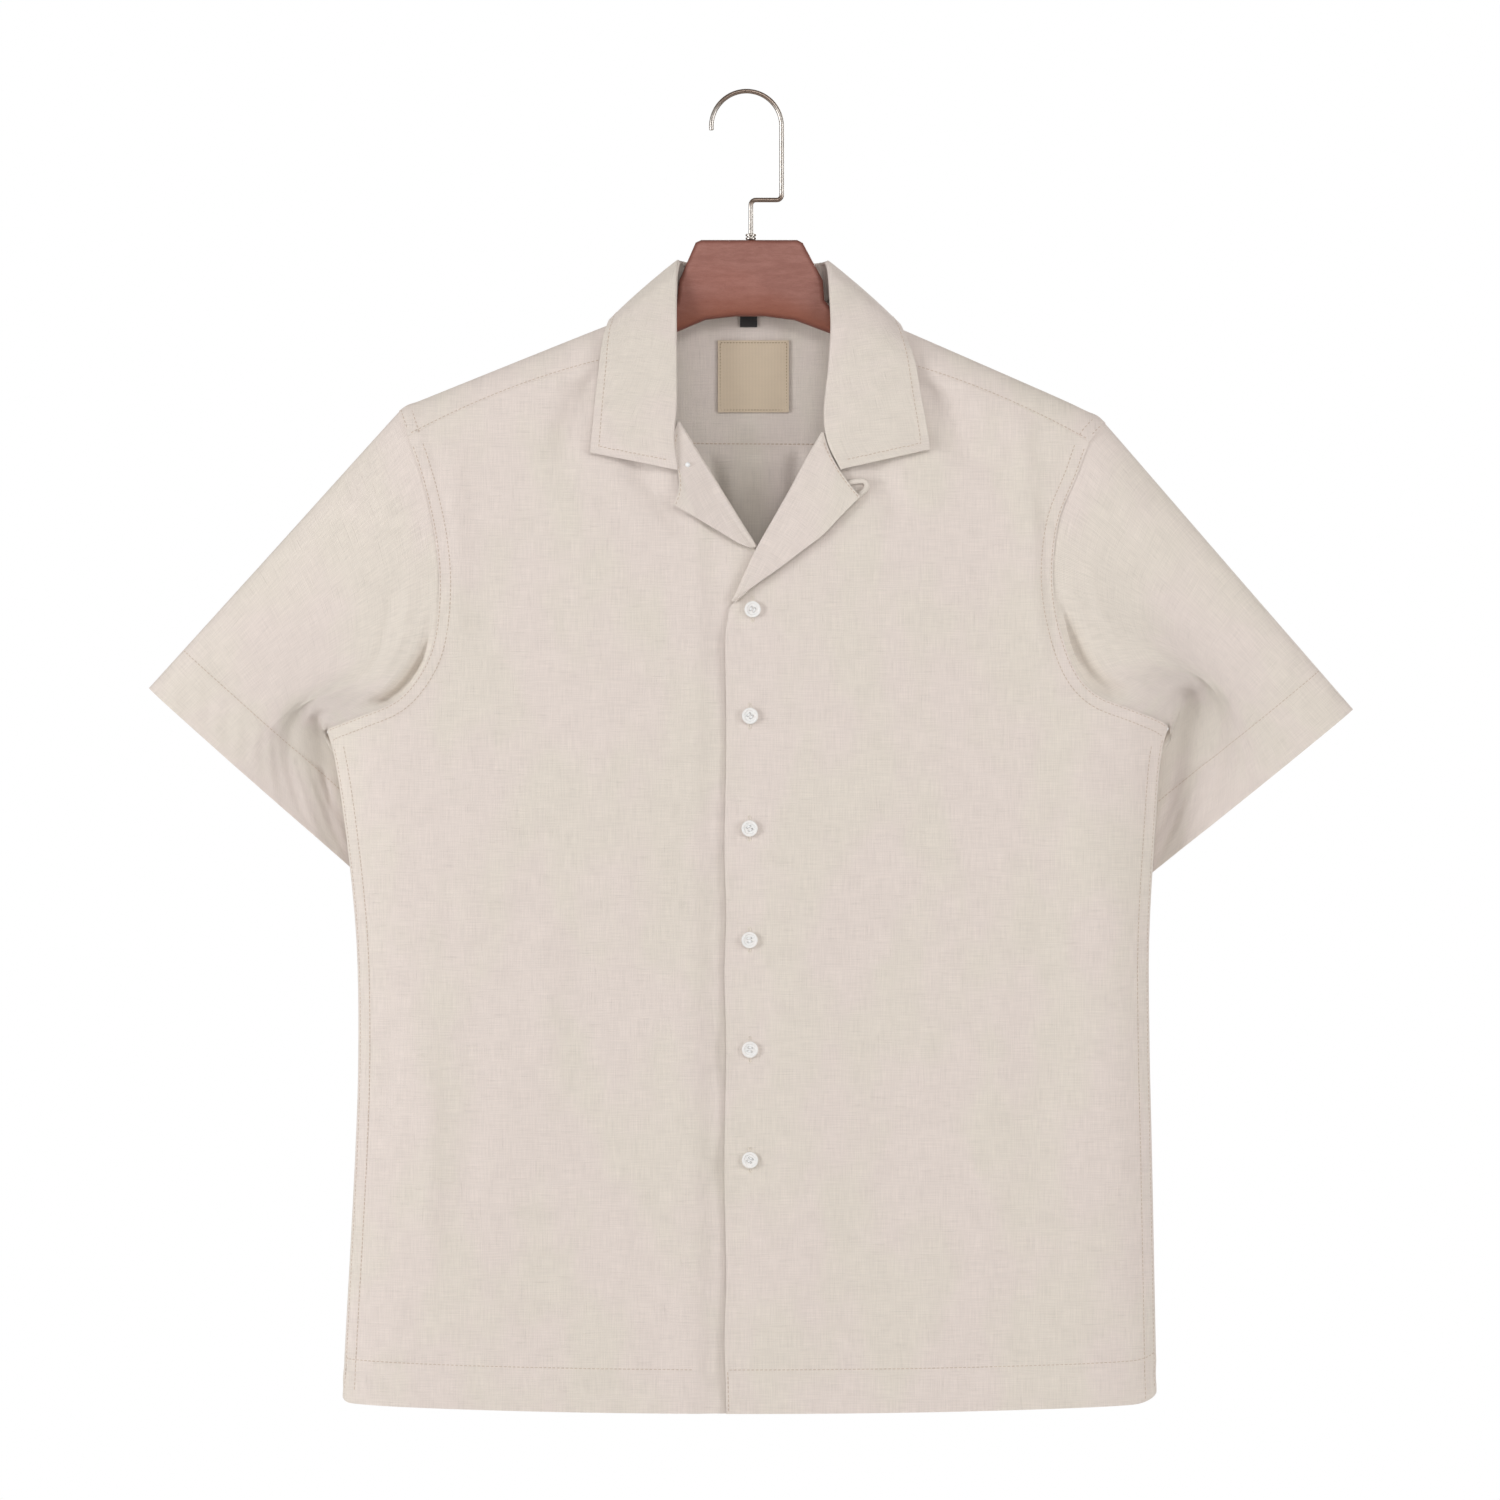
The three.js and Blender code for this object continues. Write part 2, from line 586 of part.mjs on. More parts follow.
function sleevePoint(side, part, along, face) {
  const out = side === "right" ? -1 : 1;
  const [seamX, seamZ, swing] = ["x", "z", "swing"].map((column) => {
    return read(ARMHOLE[side], column, "part", part);
  });
  const seam = { x: seamX, z: seamZ };
  const { tip, corner } = CUFF[side];
  const cuff = between(tip, corner, part);
  const lead = between(seam, cuff, 0.5);
  lead.x += out * SWING_OUT * swing;
  lead.z += SWING_UP * swing;
  const { x: untucked, z } = between(between(seam, lead, along), between(lead, cuff, along), along);
  const tuck = TUCK * smoothstep(along, 0.1, 0.55) * smoothstep(1 - along, 0, 0.5);
  const x = untucked - out * tuck * smoothstep(part, 0.7, 1);
  const width = Math.hypot(tip.x - corner.x, tip.z - corner.z);
  const folds = roundOff((part * width) / CUFF_ROUND) * roundOff(((1 - part) * width) / CUFF_ROUND);
  const back = UNDERARM_BACK * along ** 0.6 * smoothstep(part, 0.3, 1);
  const hanging = back + face * CUFF_HALF_DEPTH * Math.sqrt(folds);
  const reach = lerp(BLEND_TOP, BLEND_UNDER, smoothstep(part, 0.5, 0.9));
  return vec(x, lerp(face * depth(x, z), hanging, smoothstep(along, 0, reach)), z);
}

function sleeve(side) {
  const backParts = SLEEVE_PARTS.slice(1, -1).reverse();
  const grid = SLEEVE_RINGS.map((along) => [
    ...SLEEVE_PARTS.map((part) => sleevePoint(side, part, along, -1)),
    ...backParts.map((part) => sleevePoint(side, part, along, 1)),
  ]);
  const rows = withNormals(grid, side === "right" ? -1 : 1, true);
  rows[0].forEach((spot) => {
    spot.normal = formNormal(spot.point.x, spot.point.z, Math.sign(spot.point.y) || 1);
  });
  return rows;
}

// ---------------------------------------------------------------- lapels and collar
const TURN_STEPS = [-1, -0.5, 0, 0.5, 1]; // quarter turns round a fold
const LEAF_BOW = 4; // the leaves bow out a quarter of this
const NECK_GAP = 0.9; // between the stand's lower edge and the neck
const FREE_STAND = 1.5; // the stand's depth in front of the neck seam

function lapel(side) {
  const list = LAPEL[side];
  const outward = side === "right" ? -1 : 1;
  const grid = list.map((row, k) => {
    const [before, after] = [list[Math.max(k - 1, 0)], list[Math.min(k + 1, list.length - 1)]];
    const [dx, dz] = [after.rollX - before.rollX, after.rollZ - before.rollZ];
    const unit = outward / Math.hypot(dx, dz);
    const across = (far) => ({ x: row.rollX + dz * unit * far, z: row.rollZ - dx * unit * far });
    const edge = { x: row.edgeX, z: row.edgeZ };
    const centre = ROLL_RADIUS - 2 * SEAM_GAP;
    const round = TURN_STEPS.map((turn) => {
      const at = across(centre - ROLL_RADIUS * Math.cos((turn * Math.PI) / 2));
      const { point } = frontPoint(side, at.x, at.z);
      point.y += CLOTH - ROLL_RADIUS - ROLL_RADIUS * Math.sin((turn * Math.PI) / 2);
      return point;
    });
    const flat = [0.2, 0.4, 0.6, 0.8, 1].map((part) => {
      const at = between(across(centre), edge, part);
      const bow = (row.bow ?? 0) * 4 * part * (1 - part);
      const { point } = frontPoint(side, at.x + bow, at.z);
      point.y += CLOTH - 2 * ROLL_RADIUS;
      return point;
    });
    return [...round, ...flat];
  });
  const rows = withNormals(grid, side === "right" ? -1 : 1);
  rows.forEach((row) => row[0].normal.set(0, 1, 0));
  return rows;
}

function collar() {
  const sections = [...COLLAR.right.slice(1).reverse(), ...COLLAR.left];
  const rolls = sections.map((row) => vec(row.rollX, row.rollY, row.rollZ));
  const middle = COLLAR.left.length - 1;
  const fromMiddle = (k) => Math.abs(k - middle);
  const faceOf = (k) => (fromMiddle(k) < COLLAR_BACK_SECTIONS ? 1 : -1);
  const isSewn = (k) => fromMiddle(k) <= middle - COLLAR_FREE_SECTIONS;
  const grid = sections.map((row, k) => {
    const roll = rolls[k];
    const lift = LEAF_LIFT[row.rollX < 0 ? "right" : "left"];
    const edge = formPoint(row.edgeX, row.edgeZ, faceOf(k), lift).point;
    const next = rolls[Math.min(k + 1, rolls.length - 1)];
    const run = next.clone().sub(rolls[Math.max(k - 1, 0)]).normalize();
    const fall = edge.clone().sub(roll);
    fall.addScaledVector(run, -fall.dot(run)).normalize();
    const outward = run.clone().cross(fall).normalize();
    const turn = (step) => {
      const angle = (step * Math.PI) / 2;
      const over = roll.clone().addScaledVector(fall, COLLAR_RADIUS * (1 - Math.cos(angle)));
      return over.addScaledVector(outward, COLLAR_RADIUS * Math.sin(angle));
    };
    let neck = turn(-1).addScaledVector(fall, FREE_STAND);
    if (isSewn(k)) {
      neck = formPoint(row.neckX, row.neckZ, faceOf(k), -CLOTH).point;
      neck.add(roll.clone().sub(neck).setLength(NECK_GAP));
    }
    const stand = [0, 0.5].map((part) => neck.clone().lerp(turn(-1), part));
    const leaf = [0.2, 0.45, 0.72, 1].map((part) =>
      turn(1).lerp(edge, part).addScaledVector(outward, LEAF_BOW * part * (1 - part)),
    );
    return [...stand, ...TURN_STEPS.map(turn), ...leaf];
  });
  const rows = withNormals(grid, -1);
  sections.forEach(({ neckX, neckZ }, k) => {
    if (isSewn(k)) rows[k][0].normal = formNormal(neckX, neckZ, faceOf(k)).negate();
  });
  return rows;
}

// ---------------------------------------------------------------- labels, buttons, loop
// A flat patch inside the back, just clear of the yoke.
function patch({ left, right, top, bottom, thick }) {
  const steps = [0, 0.25, 0.5, 0.75, 1];
  const clear = -CLOTH - SEAM_GAP;
  return wall(
    steps.map((up) =>
      steps.map((over) => {
        return formPoint(lerp(left, right, over), lerp(bottom, top, up), 1, clear);
      }),
    ),
    thick,
  );
}

// A four-hole button with a raised rim, facing the front.
async function buttonMaker() {
  const wasm = await Module();
  wasm.setup();
  const solid = (geometry) => {
    const bare = geometry.clone().deleteAttribute("normal").deleteAttribute("uv");
    const merged = mergeVertices(bare, 1e-4);
    const vertProperties = merged.attributes.position.array;
    const triVerts = merged.index.array;
    return new wasm.Manifold(new wasm.Mesh({ numProp: 3, vertProperties, triVerts }));
  };
  const outer = BUTTON_DIAMETER / 2;
  const [dish, hole, apart] = [3.6, 0.65, 1.25];
  const profile = [
    [0, 0],
    [outer - 0.6, 0],
    [outer, 0.7],
    [outer, BUTTON_THICK - 0.5],
    [outer - 0.6, BUTTON_THICK],
    [dish + 0.5, BUTTON_THICK],
    [dish, BUTTON_THICK - 0.6],
    [0, BUTTON_THICK - 0.6],
  ].map(([r, y]) => new THREE.Vector2(r, y));
  let button = solid(new THREE.LatheGeometry(profile, 20));
  for (const [sx, sz] of [[-1, -1], [-1, 1], [1, -1], [1, 1]]) {
    const drill = new THREE.CylinderGeometry(hole, hole, 3 * BUTTON_THICK, 6);
    button = button.subtract(solid(drill.translate(sx * apart, 0, sz * apart)));
  }
  const { vertProperties, triVerts } = button.getMesh();
  const geometry = new THREE.BufferGeometry();
  geometry.setAttribute("position", new THREE.BufferAttribute(vertProperties, 3));
  geometry.setIndex([...triVerts]);
  geometry.rotateX(Math.PI);
  geometry.computeVertexNormals();
  return geometry;
}

// A solid cord or wire along a curve.
function wire(curve, diameter, steps, sides) {
  const section = new THREE.Shape();
  section.absarc(0, 0, diameter / 2, 0, 2 * Math.PI);
  return new THREE.ExtrudeGeometry(section, { extrudePath: curve, steps, curveSegments: sides / 2 });
}

function buttonLoop() {
  const cord = 1.6;
  const route = LOOP.map(({ x, z }) => {
    const { point } = frontPoint("left", x, z);
    return point.add(vec(0, -SEAM_GAP - cord / 2, 0));
  });
  return wire(new THREE.CatmullRomCurve3(route), cord, 14, 6);
}

// ---------------------------------------------------------------- hanger
// The arms run just under the shoulder cloth, and the neck stands up through the collar.
function hangerBody() {
  const under = (side) =>
    HANGER_ARM.map(({ x, drop, height }) => {
      const at = side === "right" ? -x : x;
      return { x: at, top: topZ(side, at) - drop, bottom: topZ(side, at) - drop - height };
    });
  const [right, left] = [under("right"), under("left")];
  const outline = new THREE.Shape();
  outline.moveTo(right.at(-1).x, right.at(-1).top);
  [...right].reverse().forEach(({ x, top }, k) => k && outline.lineTo(x, top));
  HANGER_NECK.forEach(({ x, z }) => outline.lineTo(x, z));
  left.forEach(({ x, top }) => outline.lineTo(x, top));
  [...left].reverse().forEach(({ x, bottom }) => outline.lineTo(x, bottom));
  HANGER_ARC.forEach(({ x, z }) => outline.lineTo(x, z));
  right.forEach(({ x, bottom }) => outline.lineTo(x, bottom));
  const solid = new THREE.ExtrudeGeometry(outline, {
    depth: HANGER_THICK - 2 * HANGER_BEVEL,
    bevelThickness: HANGER_BEVEL,
    bevelSize: HANGER_BEVEL,
    bevelOffset: -HANGER_BEVEL,
    bevelSegments: 2,
  });
  return solid.translate(0, 0, -HANGER_THICK / 2 + HANGER_BEVEL).rotateX(Math.PI / 2);
}

function quarterTurn(x, z, radius, from, to) {
  const turn = new THREE.Path().absarc(x, z, radius, from, to, from > to);
  return turn.getPoints(4);
}

// The wire from its tip over the arc, down the shank, across the jog and down the stem.
function hangerHook() {
  const { centreX, centreZ, radius, tipAngle, jogZ, bend, stemX, stemBottom } = HOOK;
  const arc = new THREE.Path().absarc(centreX, centreZ, radius, tipAngle, 0, true).getPoints(22);
  const shankX = centreX + radius;
  const flat = [
    ...arc,
    ...quarterTurn(shankX - bend, jogZ + bend, bend, 0, -Math.PI / 2),
    ...quarterTurn(stemX + bend, jogZ - bend, bend, Math.PI / 2, Math.PI),
    new THREE.Vector2(stemX, stemBottom),
  ];
  const route = new THREE.CurvePath();
  for (let k = 1; k < flat.length; k++) {
    const [a, b] = [flat[k - 1], flat[k]].map(({ x, y }) => vec(x, 0, y));
    if (a.distanceTo(b) > 1e-6) route.add(new THREE.LineCurve3(a, b));
  }
  return route;
}

function ferrule() {
  const { stemX, stemBottom } = HOOK;
  const top = stemBottom - SEAM_GAP;
  const bottom = HANGER_TOP + SEAM_GAP;
  const profile = [
    [0, bottom],
    [FERRULE.radius, bottom],
    [FERRULE.radius, bottom + 1.4],
    [FERRULE.waist, bottom + 1.8],
    [FERRULE.waist, top - 1],
    [FERRULE.radius - 0.6, top - 0.5],
    [FERRULE.radius - 0.6, top],
    [0, top],
  ].map(([r, z]) => new THREE.Vector2(r, z));
  return new THREE.LatheGeometry(profile, 16).rotateX(Math.PI / 2).translate(stemX, 0, 0);
}

add("back", wall(backPanel(), CLOTH), "linen");
SIDES.forEach((side) => add(`front_${side}`, wall(frontPanel(side), CLOTH), "linen"));
add("yoke", wall(yoke(), CLOTH), "linen");
SIDES.forEach((side) => add(`sleeve_${side}`, wall(sleeve(side), CLOTH, true), "linen"));
SIDES.forEach((side) => add(`lapel_${side}`, wall(lapel(side), CLOTH), "linen"));
add("collar", wall(collar(), COLLAR_CLOTH), "linen");

add("button_loop", buttonLoop(), "linen");
add("neck_label", patch(NECK_LABEL), "label");
add("size_tag", patch(SIZE_TAG), "tag");
const button = await buttonMaker();
BUTTONS.forEach(({ x, z }, k) => {
  const { point } = frontPoint("left", x, z, SEAM_GAP);
  add(`button_${k + 1}`, button.clone().translate(point.x, point.y, point.z), "pearl");
});
add("hanger_body", hangerBody(), "walnut");
add("hanger_ferrule", ferrule(), "chrome");
add("hanger_hook", wire(hangerHook(), WIRE, HOOK_STEPS, 8), "chrome");

export default shirt;
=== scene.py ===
"""Looks for a linen camp shirt that hangs flat and buttoned on a wooden hanger.

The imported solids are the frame. Tables are in millimetres, as the panels are cut, and
meshes come out in metres. The front faces -Y, +X is the wearer's left, the origin is
inside the top of the hook.
"""

import math

import bmesh
import bpy
import numpy as np
from mathutils import Matrix, Vector


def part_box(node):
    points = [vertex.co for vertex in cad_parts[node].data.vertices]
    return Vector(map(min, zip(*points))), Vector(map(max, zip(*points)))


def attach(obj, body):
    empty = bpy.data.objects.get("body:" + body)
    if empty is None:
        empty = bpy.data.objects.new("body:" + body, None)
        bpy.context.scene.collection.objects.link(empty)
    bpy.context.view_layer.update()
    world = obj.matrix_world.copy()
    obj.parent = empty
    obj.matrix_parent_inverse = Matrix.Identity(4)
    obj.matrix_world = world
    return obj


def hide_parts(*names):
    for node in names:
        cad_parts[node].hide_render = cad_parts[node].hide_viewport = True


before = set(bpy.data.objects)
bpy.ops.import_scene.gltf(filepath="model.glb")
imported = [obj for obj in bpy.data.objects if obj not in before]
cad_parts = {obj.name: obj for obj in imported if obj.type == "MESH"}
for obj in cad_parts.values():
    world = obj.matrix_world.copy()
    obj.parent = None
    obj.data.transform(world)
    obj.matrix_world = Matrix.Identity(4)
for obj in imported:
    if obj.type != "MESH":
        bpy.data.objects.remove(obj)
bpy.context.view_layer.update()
bpy.ops.object.select_all(action="DESELECT")


# ---------------------------------------------------------------- the hanging form
# The shirt hangs flat: the front and the back are two shallow shells that meet in soft
# folds along the shoulders and the sides. Everything sewn lies on these two shells.
MM = 0.001
SEAM_GAP = 0.3
CLOTH = 1.2
COLLAR_CLOTH = 1.6
TOP_ROUND = 32
SIDE_ROUND = 45
OVERLAP_DROP = 2.2
SIDES = ("right", "left")
OUT = {"right": -1, "left": 1}

# height and half the depth there
DEPTH = [(-950, 18), (-750, 19), (-560, 21), (-430, 20), (-300, 17), (-200, 14.5), (-100, 13.5)]

# x and z from the neck, over the shoulder, down the top fold of the sleeve
TOP_LINE = {
    "right": [(-58, -146), (-125, -172.6), (-226.8, -213.6), (-241.5, -219.5), (-252, -228.6),
              (-303, -284.6), (-404.6, -396.6), (-420.7, -416.2)],
    "left": [(58, -144.5), (123, -172.6), (219, -214.6), (243.6, -226.5), (259.7, -242.6),
             (296, -284.6), (407.4, -411), (422.1, -431)],
}

# x and z of the side folds, from the pit to the hem
SIDE_LINE = {
    "right": [(-295.8, -445.9), (-290.2, -466), (-282.4, -518), (-275.1, -592), (-273.7, -668),
              (-276, -745), (-282.8, -872), (-284.9, -915)],
    "left": [(292.4, -443), (287, -466), (283, -518), (279, -592), (279.3, -668), (281, -745),
             (283.5, -872), (284.2, -913)],
}

# part of the way from the shoulder to the pit, x, z, and how far the cloth swings over
ARMHOLE = {
    "right": [(0, -245, -222.5, 0), (0.06, -238.6, -241, 0), (0.13, -228, -274, 2),
              (0.2, -220, -310, 10), (0.28, -217, -344, 24), (0.36, -220, -380, 36),
              (0.42, -229, -404.5, 50), (0.48, -246.4, -425, 64), (0.62, -273, -436.5, 76),
              (0.92, -291, -443.2, 83), (1, -295.8, -445.9, 52)],
    "left": [(0, 248.5, -231.4, 0), (0.06, 236.6, -244.7, 0), (0.13, 228, -268, 3),
             (0.2, 215.5, -300, 18), (0.28, 211.2, -338, 44), (0.36, 215.6, -372.4, 70),
             (0.42, 226, -403, 90), (0.48, 241.3, -420.9, 103), (0.62, 266, -431, 114),
             (0.92, 285, -438.5, 116), (1, 292.4, -443, 49)],
}


def spline(points, steps):
    """A smooth curve through the points, with so many steps in each gap."""
    p = np.asarray(points, float)
    steps = [steps] * (len(p) - 1) if np.isscalar(steps) else steps
    p = np.concatenate([2 * p[:1] - p[1:2], p, 2 * p[-1:] - p[-2:-1]])
    spans = []
    for a, b, c, d, n in zip(p, p[1:], p[2:], p[3:], steps):
        t = np.arange(n).reshape(-1, *[1] * (p.ndim - 1)) / n
        bend = (2 * a - 5 * b + 4 * c - d) * t**2 + (3 * b - a - 3 * c + d) * t**3
        spans.append(b + 0.5 * ((c - a) * t + bend))
    return np.concatenate([*spans, p[-2:-1]])


def lerp(a, b, t):
    return a + (b - a) * t


def unit(vectors):
    """The vectors, each scaled to a length of one."""
    return vectors / np.maximum(np.linalg.norm(vectors, axis=-1, keepdims=True), 1e-9)


def bow(share):
    """A shallow arch over a span: zero at both ends, one in the middle."""
    return 4 * share * (1 - share)


def smooth(value, low, high):
    t = np.clip((value - low) / (high - low), 0, 1)
    return t * t * (3 - 2 * t)


SMOOTH_TOP = {side: spline(TOP_LINE[side], 5) for side in SIDES}
SMOOTH_SIDE = {side: spline(SIDE_LINE[side], 4) for side in SIDES}
SMOOTH_HOLE = {side: spline(ARMHOLE[side], 8) for side in SIDES}
SMOOTH_DEPTH = spline(DEPTH, 8)


def inside(line, side, x, z):
    """Distance from an outline, positive inside the shirt."""
    best = np.full(np.shape(x), np.inf)
    signed = best.copy()
    for k, (a, b) in enumerate(zip(line, line[1:])):
        dx, dz = b - a
        along = ((x - a[0]) * dx + (z - a[1]) * dz) / (dx * dx + dz * dz)
        t = np.clip(along, 0, 1)
        far = np.hypot(x - a[0] - dx * t, z - a[1] - dz * t)
        sign = np.where(OUT[side] * (dx * (z - a[1]) - dz * (x - a[0])) > 0, -1.0, 1.0)
        beyond = (k == 0) & (along < 0) | (k == len(line) - 2) & (along > 1)
        closer = far < best - 1e-9
        best = np.where(closer, far, best)
        signed = np.where(closer, np.where(beyond, 1.0, sign) * far, signed)
    return signed


def round_off(t):
    """Rises from zero to one as the square of a quarter circle's height does."""
    return 1 - (1 - np.minimum(t, 1)) ** 2


def depth_squared(x, z):
    """The square of half the depth, rounded down to nothing at the folds."""
    half = np.interp(z, SMOOTH_DEPTH[:, 0], SMOOTH_DEPTH[:, 1])
    total = np.zeros(np.broadcast(x, z).shape)
    for side in SIDES:
        here = (x < 0) if side == "right" else (x >= 0)
        top = round_off(inside(SMOOTH_TOP[side], side, x, z) / TOP_ROUND)
        edge = round_off(inside(SMOOTH_SIDE[side], side, x, z) / SIDE_ROUND)
        total = np.where(here, half**2 * top * edge, total)
    return total


def form_normal(x, z, face):
    """The way out of a shell, from how the square of its depth falls away."""
    step = 0.5
    gx = (depth_squared(x + step, z) - depth_squared(x - step, z)) / (2 * step)
    gz = (depth_squared(x, z + step) - depth_squared(x, z - step)) / (2 * step)
    depth = np.sqrt(np.maximum(depth_squared(x, z), 1e-6))
    return unit(np.stack([-gx, 2 * face * depth, -gz], axis=-1))


def form_point(x, z, face, lift=0.0):
    """Points on the front (-1) or the back (1) shell, and their outward normals."""
    x, z, lift = np.broadcast_arrays(np.asarray(x, float), z, lift)
    normal = form_normal(x, z, face)
    y = face * (np.sqrt(np.maximum(depth_squared(x, z), 0)) + SEAM_GAP / 2)
    return np.stack([x, y, z], axis=-1) + normal * lift[..., None], normal


# ---------------------------------------------------------------- making meshes
# Cloth comes from grids of points: a grid becomes a thin closed wall by Solidify, and its
# UV runs in metres along the weave, so every panel's threads have the same pitch.
CREASE_ANGLE = 50
UV_SEAM = 0.02


def new_object(name, mesh, replaces=()):
    piece = bpy.data.objects.new(name, mesh)
    bpy.context.collection.objects.link(piece)
    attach(piece, "root")
    if replaces:
        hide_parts(*replaces)
    return piece


def grid_mesh(name, points, uv, ring=False):
    """A mesh from a rows x columns x 3 array in millimetres. A ring closes on itself."""
    height, width = points.shape[:2]
    index = np.arange(height * width).reshape(height, width)
    if ring:
        index = np.concatenate([index, index[:, :1]], axis=1)
        uv = np.concatenate([uv, lerp(uv[:, -1:], uv[:, :1], UV_SEAM)], axis=1)
    uv_index = np.arange(index.size).reshape(index.shape)
    corners = [(0, 0), (0, 1), (1, 1), (1, 0)]

    def loops(table):
        picks = [table[i : len(table) - 1 + i, j : table.shape[1] - 1 + j] for i, j in corners]
        return np.stack(picks, axis=-1).reshape(-1)

    faces = loops(index)
    mesh = bpy.data.meshes.new(name)
    mesh.vertices.add(height * width)
    mesh.vertices.foreach_set("co", (points * MM).reshape(-1))
    mesh.loops.add(len(faces))
    mesh.loops.foreach_set("vertex_index", faces)
    mesh.polygons.add(len(faces) // 4)
    mesh.polygons.foreach_set("loop_start", np.arange(0, len(faces), 4))
    mesh.update(calc_edges=True)
    layer = mesh.uv_layers.new(name="weave")
    layer.data.foreach_set("uv", (uv.reshape(-1, 2)[loops(uv_index)] * MM).reshape(-1))
    mesh.polygons.foreach_set("use_smooth", np.ones(len(faces) // 4, bool))
    mesh.validate()
    return mesh


def apply_modifiers(piece):
    bpy.context.view_layer.objects.active = piece
    for modifier in list(piece.modifiers):
        bpy.ops.object.modifier_apply(modifier=modifier.name)


def smooth_by_angle(piece, degrees=CREASE_ANGLE):
    bpy.ops.object.select_all(action="DESELECT")
    piece.select_set(True)
    bpy.context.view_layer.objects.active = piece
    bpy.ops.object.shade_smooth_by_angle(angle=math.radians(degrees))


def face_out(mesh, normals):
    """Turns the faces to the side that the given grid normals point to."""
    mesh.update()
    co = np.zeros(len(mesh.vertices) * 3)
    mesh.vertex_normals.foreach_get("vector", co)
    if np.sum(co.reshape(-1, 3) * normals.reshape(-1, 3)) < 0:
        mesh.flip_normals()


def cloth(name, points, normals, uv, material, thickness, replaces, ring=False):
    """A grid as a closed cloth wall whose outer face is the grid."""
    mesh = grid_mesh(name, points, uv, ring)
    face_out(mesh, normals)
    piece = new_object(name, mesh, replaces)
    solid = piece.modifiers.new("wall", "SOLIDIFY")
    solid.thickness = thickness * MM
    solid.offset = -1
    solid.use_even_offset = False
    apply_modifiers(piece)
    smooth_by_angle(piece)
    mesh.materials.append(material)
    return piece


def grid_normals(points, ring=False):
    """Normals of a grid, on the side that a column crossed with a row gives."""
    if ring:
        across = np.roll(points, -1, axis=1) - np.roll(points, 1, axis=1)
    else:
        across = np.gradient(points, axis=1)
    return unit(np.cross(across, np.gradient(points, axis=0)))


def lengths(points, axis):
    """Running length along one axis of a grid, zero at its start."""
    step = np.linalg.norm(np.diff(points, axis=axis), axis=-1)
    start = np.zeros_like(np.take(step, [0], axis=axis))
    return np.concatenate([start, np.cumsum(step, axis=axis)], axis=axis)


# ---------------------------------------------------------------- folds in the cloth
# Soft ridges (+) and troughs (-) placed along lines on the shell: the cloth pulls
# at the armpits, sinks beside the collar and waves a little down the body.
# x and z of both ends, width, height
FRONT_FOLDS = [
    (190, -242, 201, -372, 9, 3.1),
    (206, -300, 216, -372, 6, -1.9),
    (-206, -262, -203, -372, 8, 1.6),
    (-114, -196, -126, -236, 11, -5.0),
    (-74, -268, -56, -292, 9, -3.6),
    (122, -200, 146, -240, 11, -5.0),
    (88, -264, 102, -286, 9, -3.4),
    (-214, -380, -262, -428, 8, 1.9),
    (232, -400, 268, -428, 8, 2.2),
    (180, -420, 262, -432, 9, 1.7),
    (-255, -663, -259, -742, 9, -1.9),
    (-224, -672, -223, -800, 9, 1.9),
    (-190, -640, -196, -760, 12, -1.1),
    (-143, -600, -141, -660, 12, 1.4),
    (234, -462, 236, -542, 13, 2.0),
    (212, -560, 205, -720, 16, -1.2),
    (172, -660, 170, -790, 14, 1.2),
    (-46, -640, -44, -900, 15, 1.2),
    (60, -388, 200, -388, 7, -0.5),
]
BACK_FOLDS = [
    (-26, -262, -20, -284, 5, 2.6),
    (33, -252, 30, -280, 5, 2.4),
    (-23, -280, -27, -405, 9, 1.9),
    (4, -318, 5, -356, 34, -12.0),
    (-90, -262, -104, -420, 16, 1.9),
    (104, -262, 112, -440, 16, 2.2),
    (-196, -262, -206, -392, 10, -2.3),
    (190, -262, 202, -392, 10, 2.3),
    (-230, -640, -222, -820, 13, 1.9),
    (-120, -560, -128, -760, 18, -1.6),
    (60, -600, 66, -840, 16, 1.6),
    (222, -500, 214, -700, 14, 1.9),
]


def fold_lift(folds, x, z):
    """Summed height of the folds at each point."""
    total = np.zeros(np.broadcast(x, z).shape)
    for ax, az, bx, bz, width, height in folds:
        dx, dz = bx - ax, bz - az
        length = math.hypot(dx, dz)
        along = ((x - ax) * dx + (z - az) * dz) / length
        off = ((x - ax) * dz - (z - az) * dx) / length
        past = np.maximum(np.maximum(-along, along - length), 0)
        total += height * np.exp(-((off / width) ** 2) - (past / (2 * width)) ** 2)
    return total


def waves(x, z, seed):
    """Very low, slow unevenness of hanging cloth, mostly running down it."""
    low = smooth(-z, 300, 560)
    total = np.sin(x / 31 + np.sin(z / 170 + seed) * 0.9 + seed)
    total = total + 0.7 * np.sin(x / 17.3 - np.sin(z / 120 + 2 * seed) * 1.1 + 1.7 * seed)
    total = total + 0.5 * np.sin(z / 61 + x / 140 + 0.6 * seed)
    return total * (0.2 + 0.36 * low)


HEM_Z = -922.3
HEM_RISE = 6.8
HEM_HALF_WIDTH = 284
# how far from the middle each corner's rounding starts, its width and its height
HEM_CORNER = {"right": (279, 6.2, 5.6), "left": (266, 18.4, 8.4)}


def hem_line(x):
    """Height of the hem, a shallow curve from side to side with rounded corners."""
    z = HEM_Z + HEM_RISE * np.abs(x / HEM_HALF_WIDTH) ** 2.2
    for side, (start, width, height) in HEM_CORNER.items():
        past = np.clip((OUT[side] * x - start) / width, 0, 1)
        z = z + height * (1 - np.sqrt(1 - past**2))
    return z


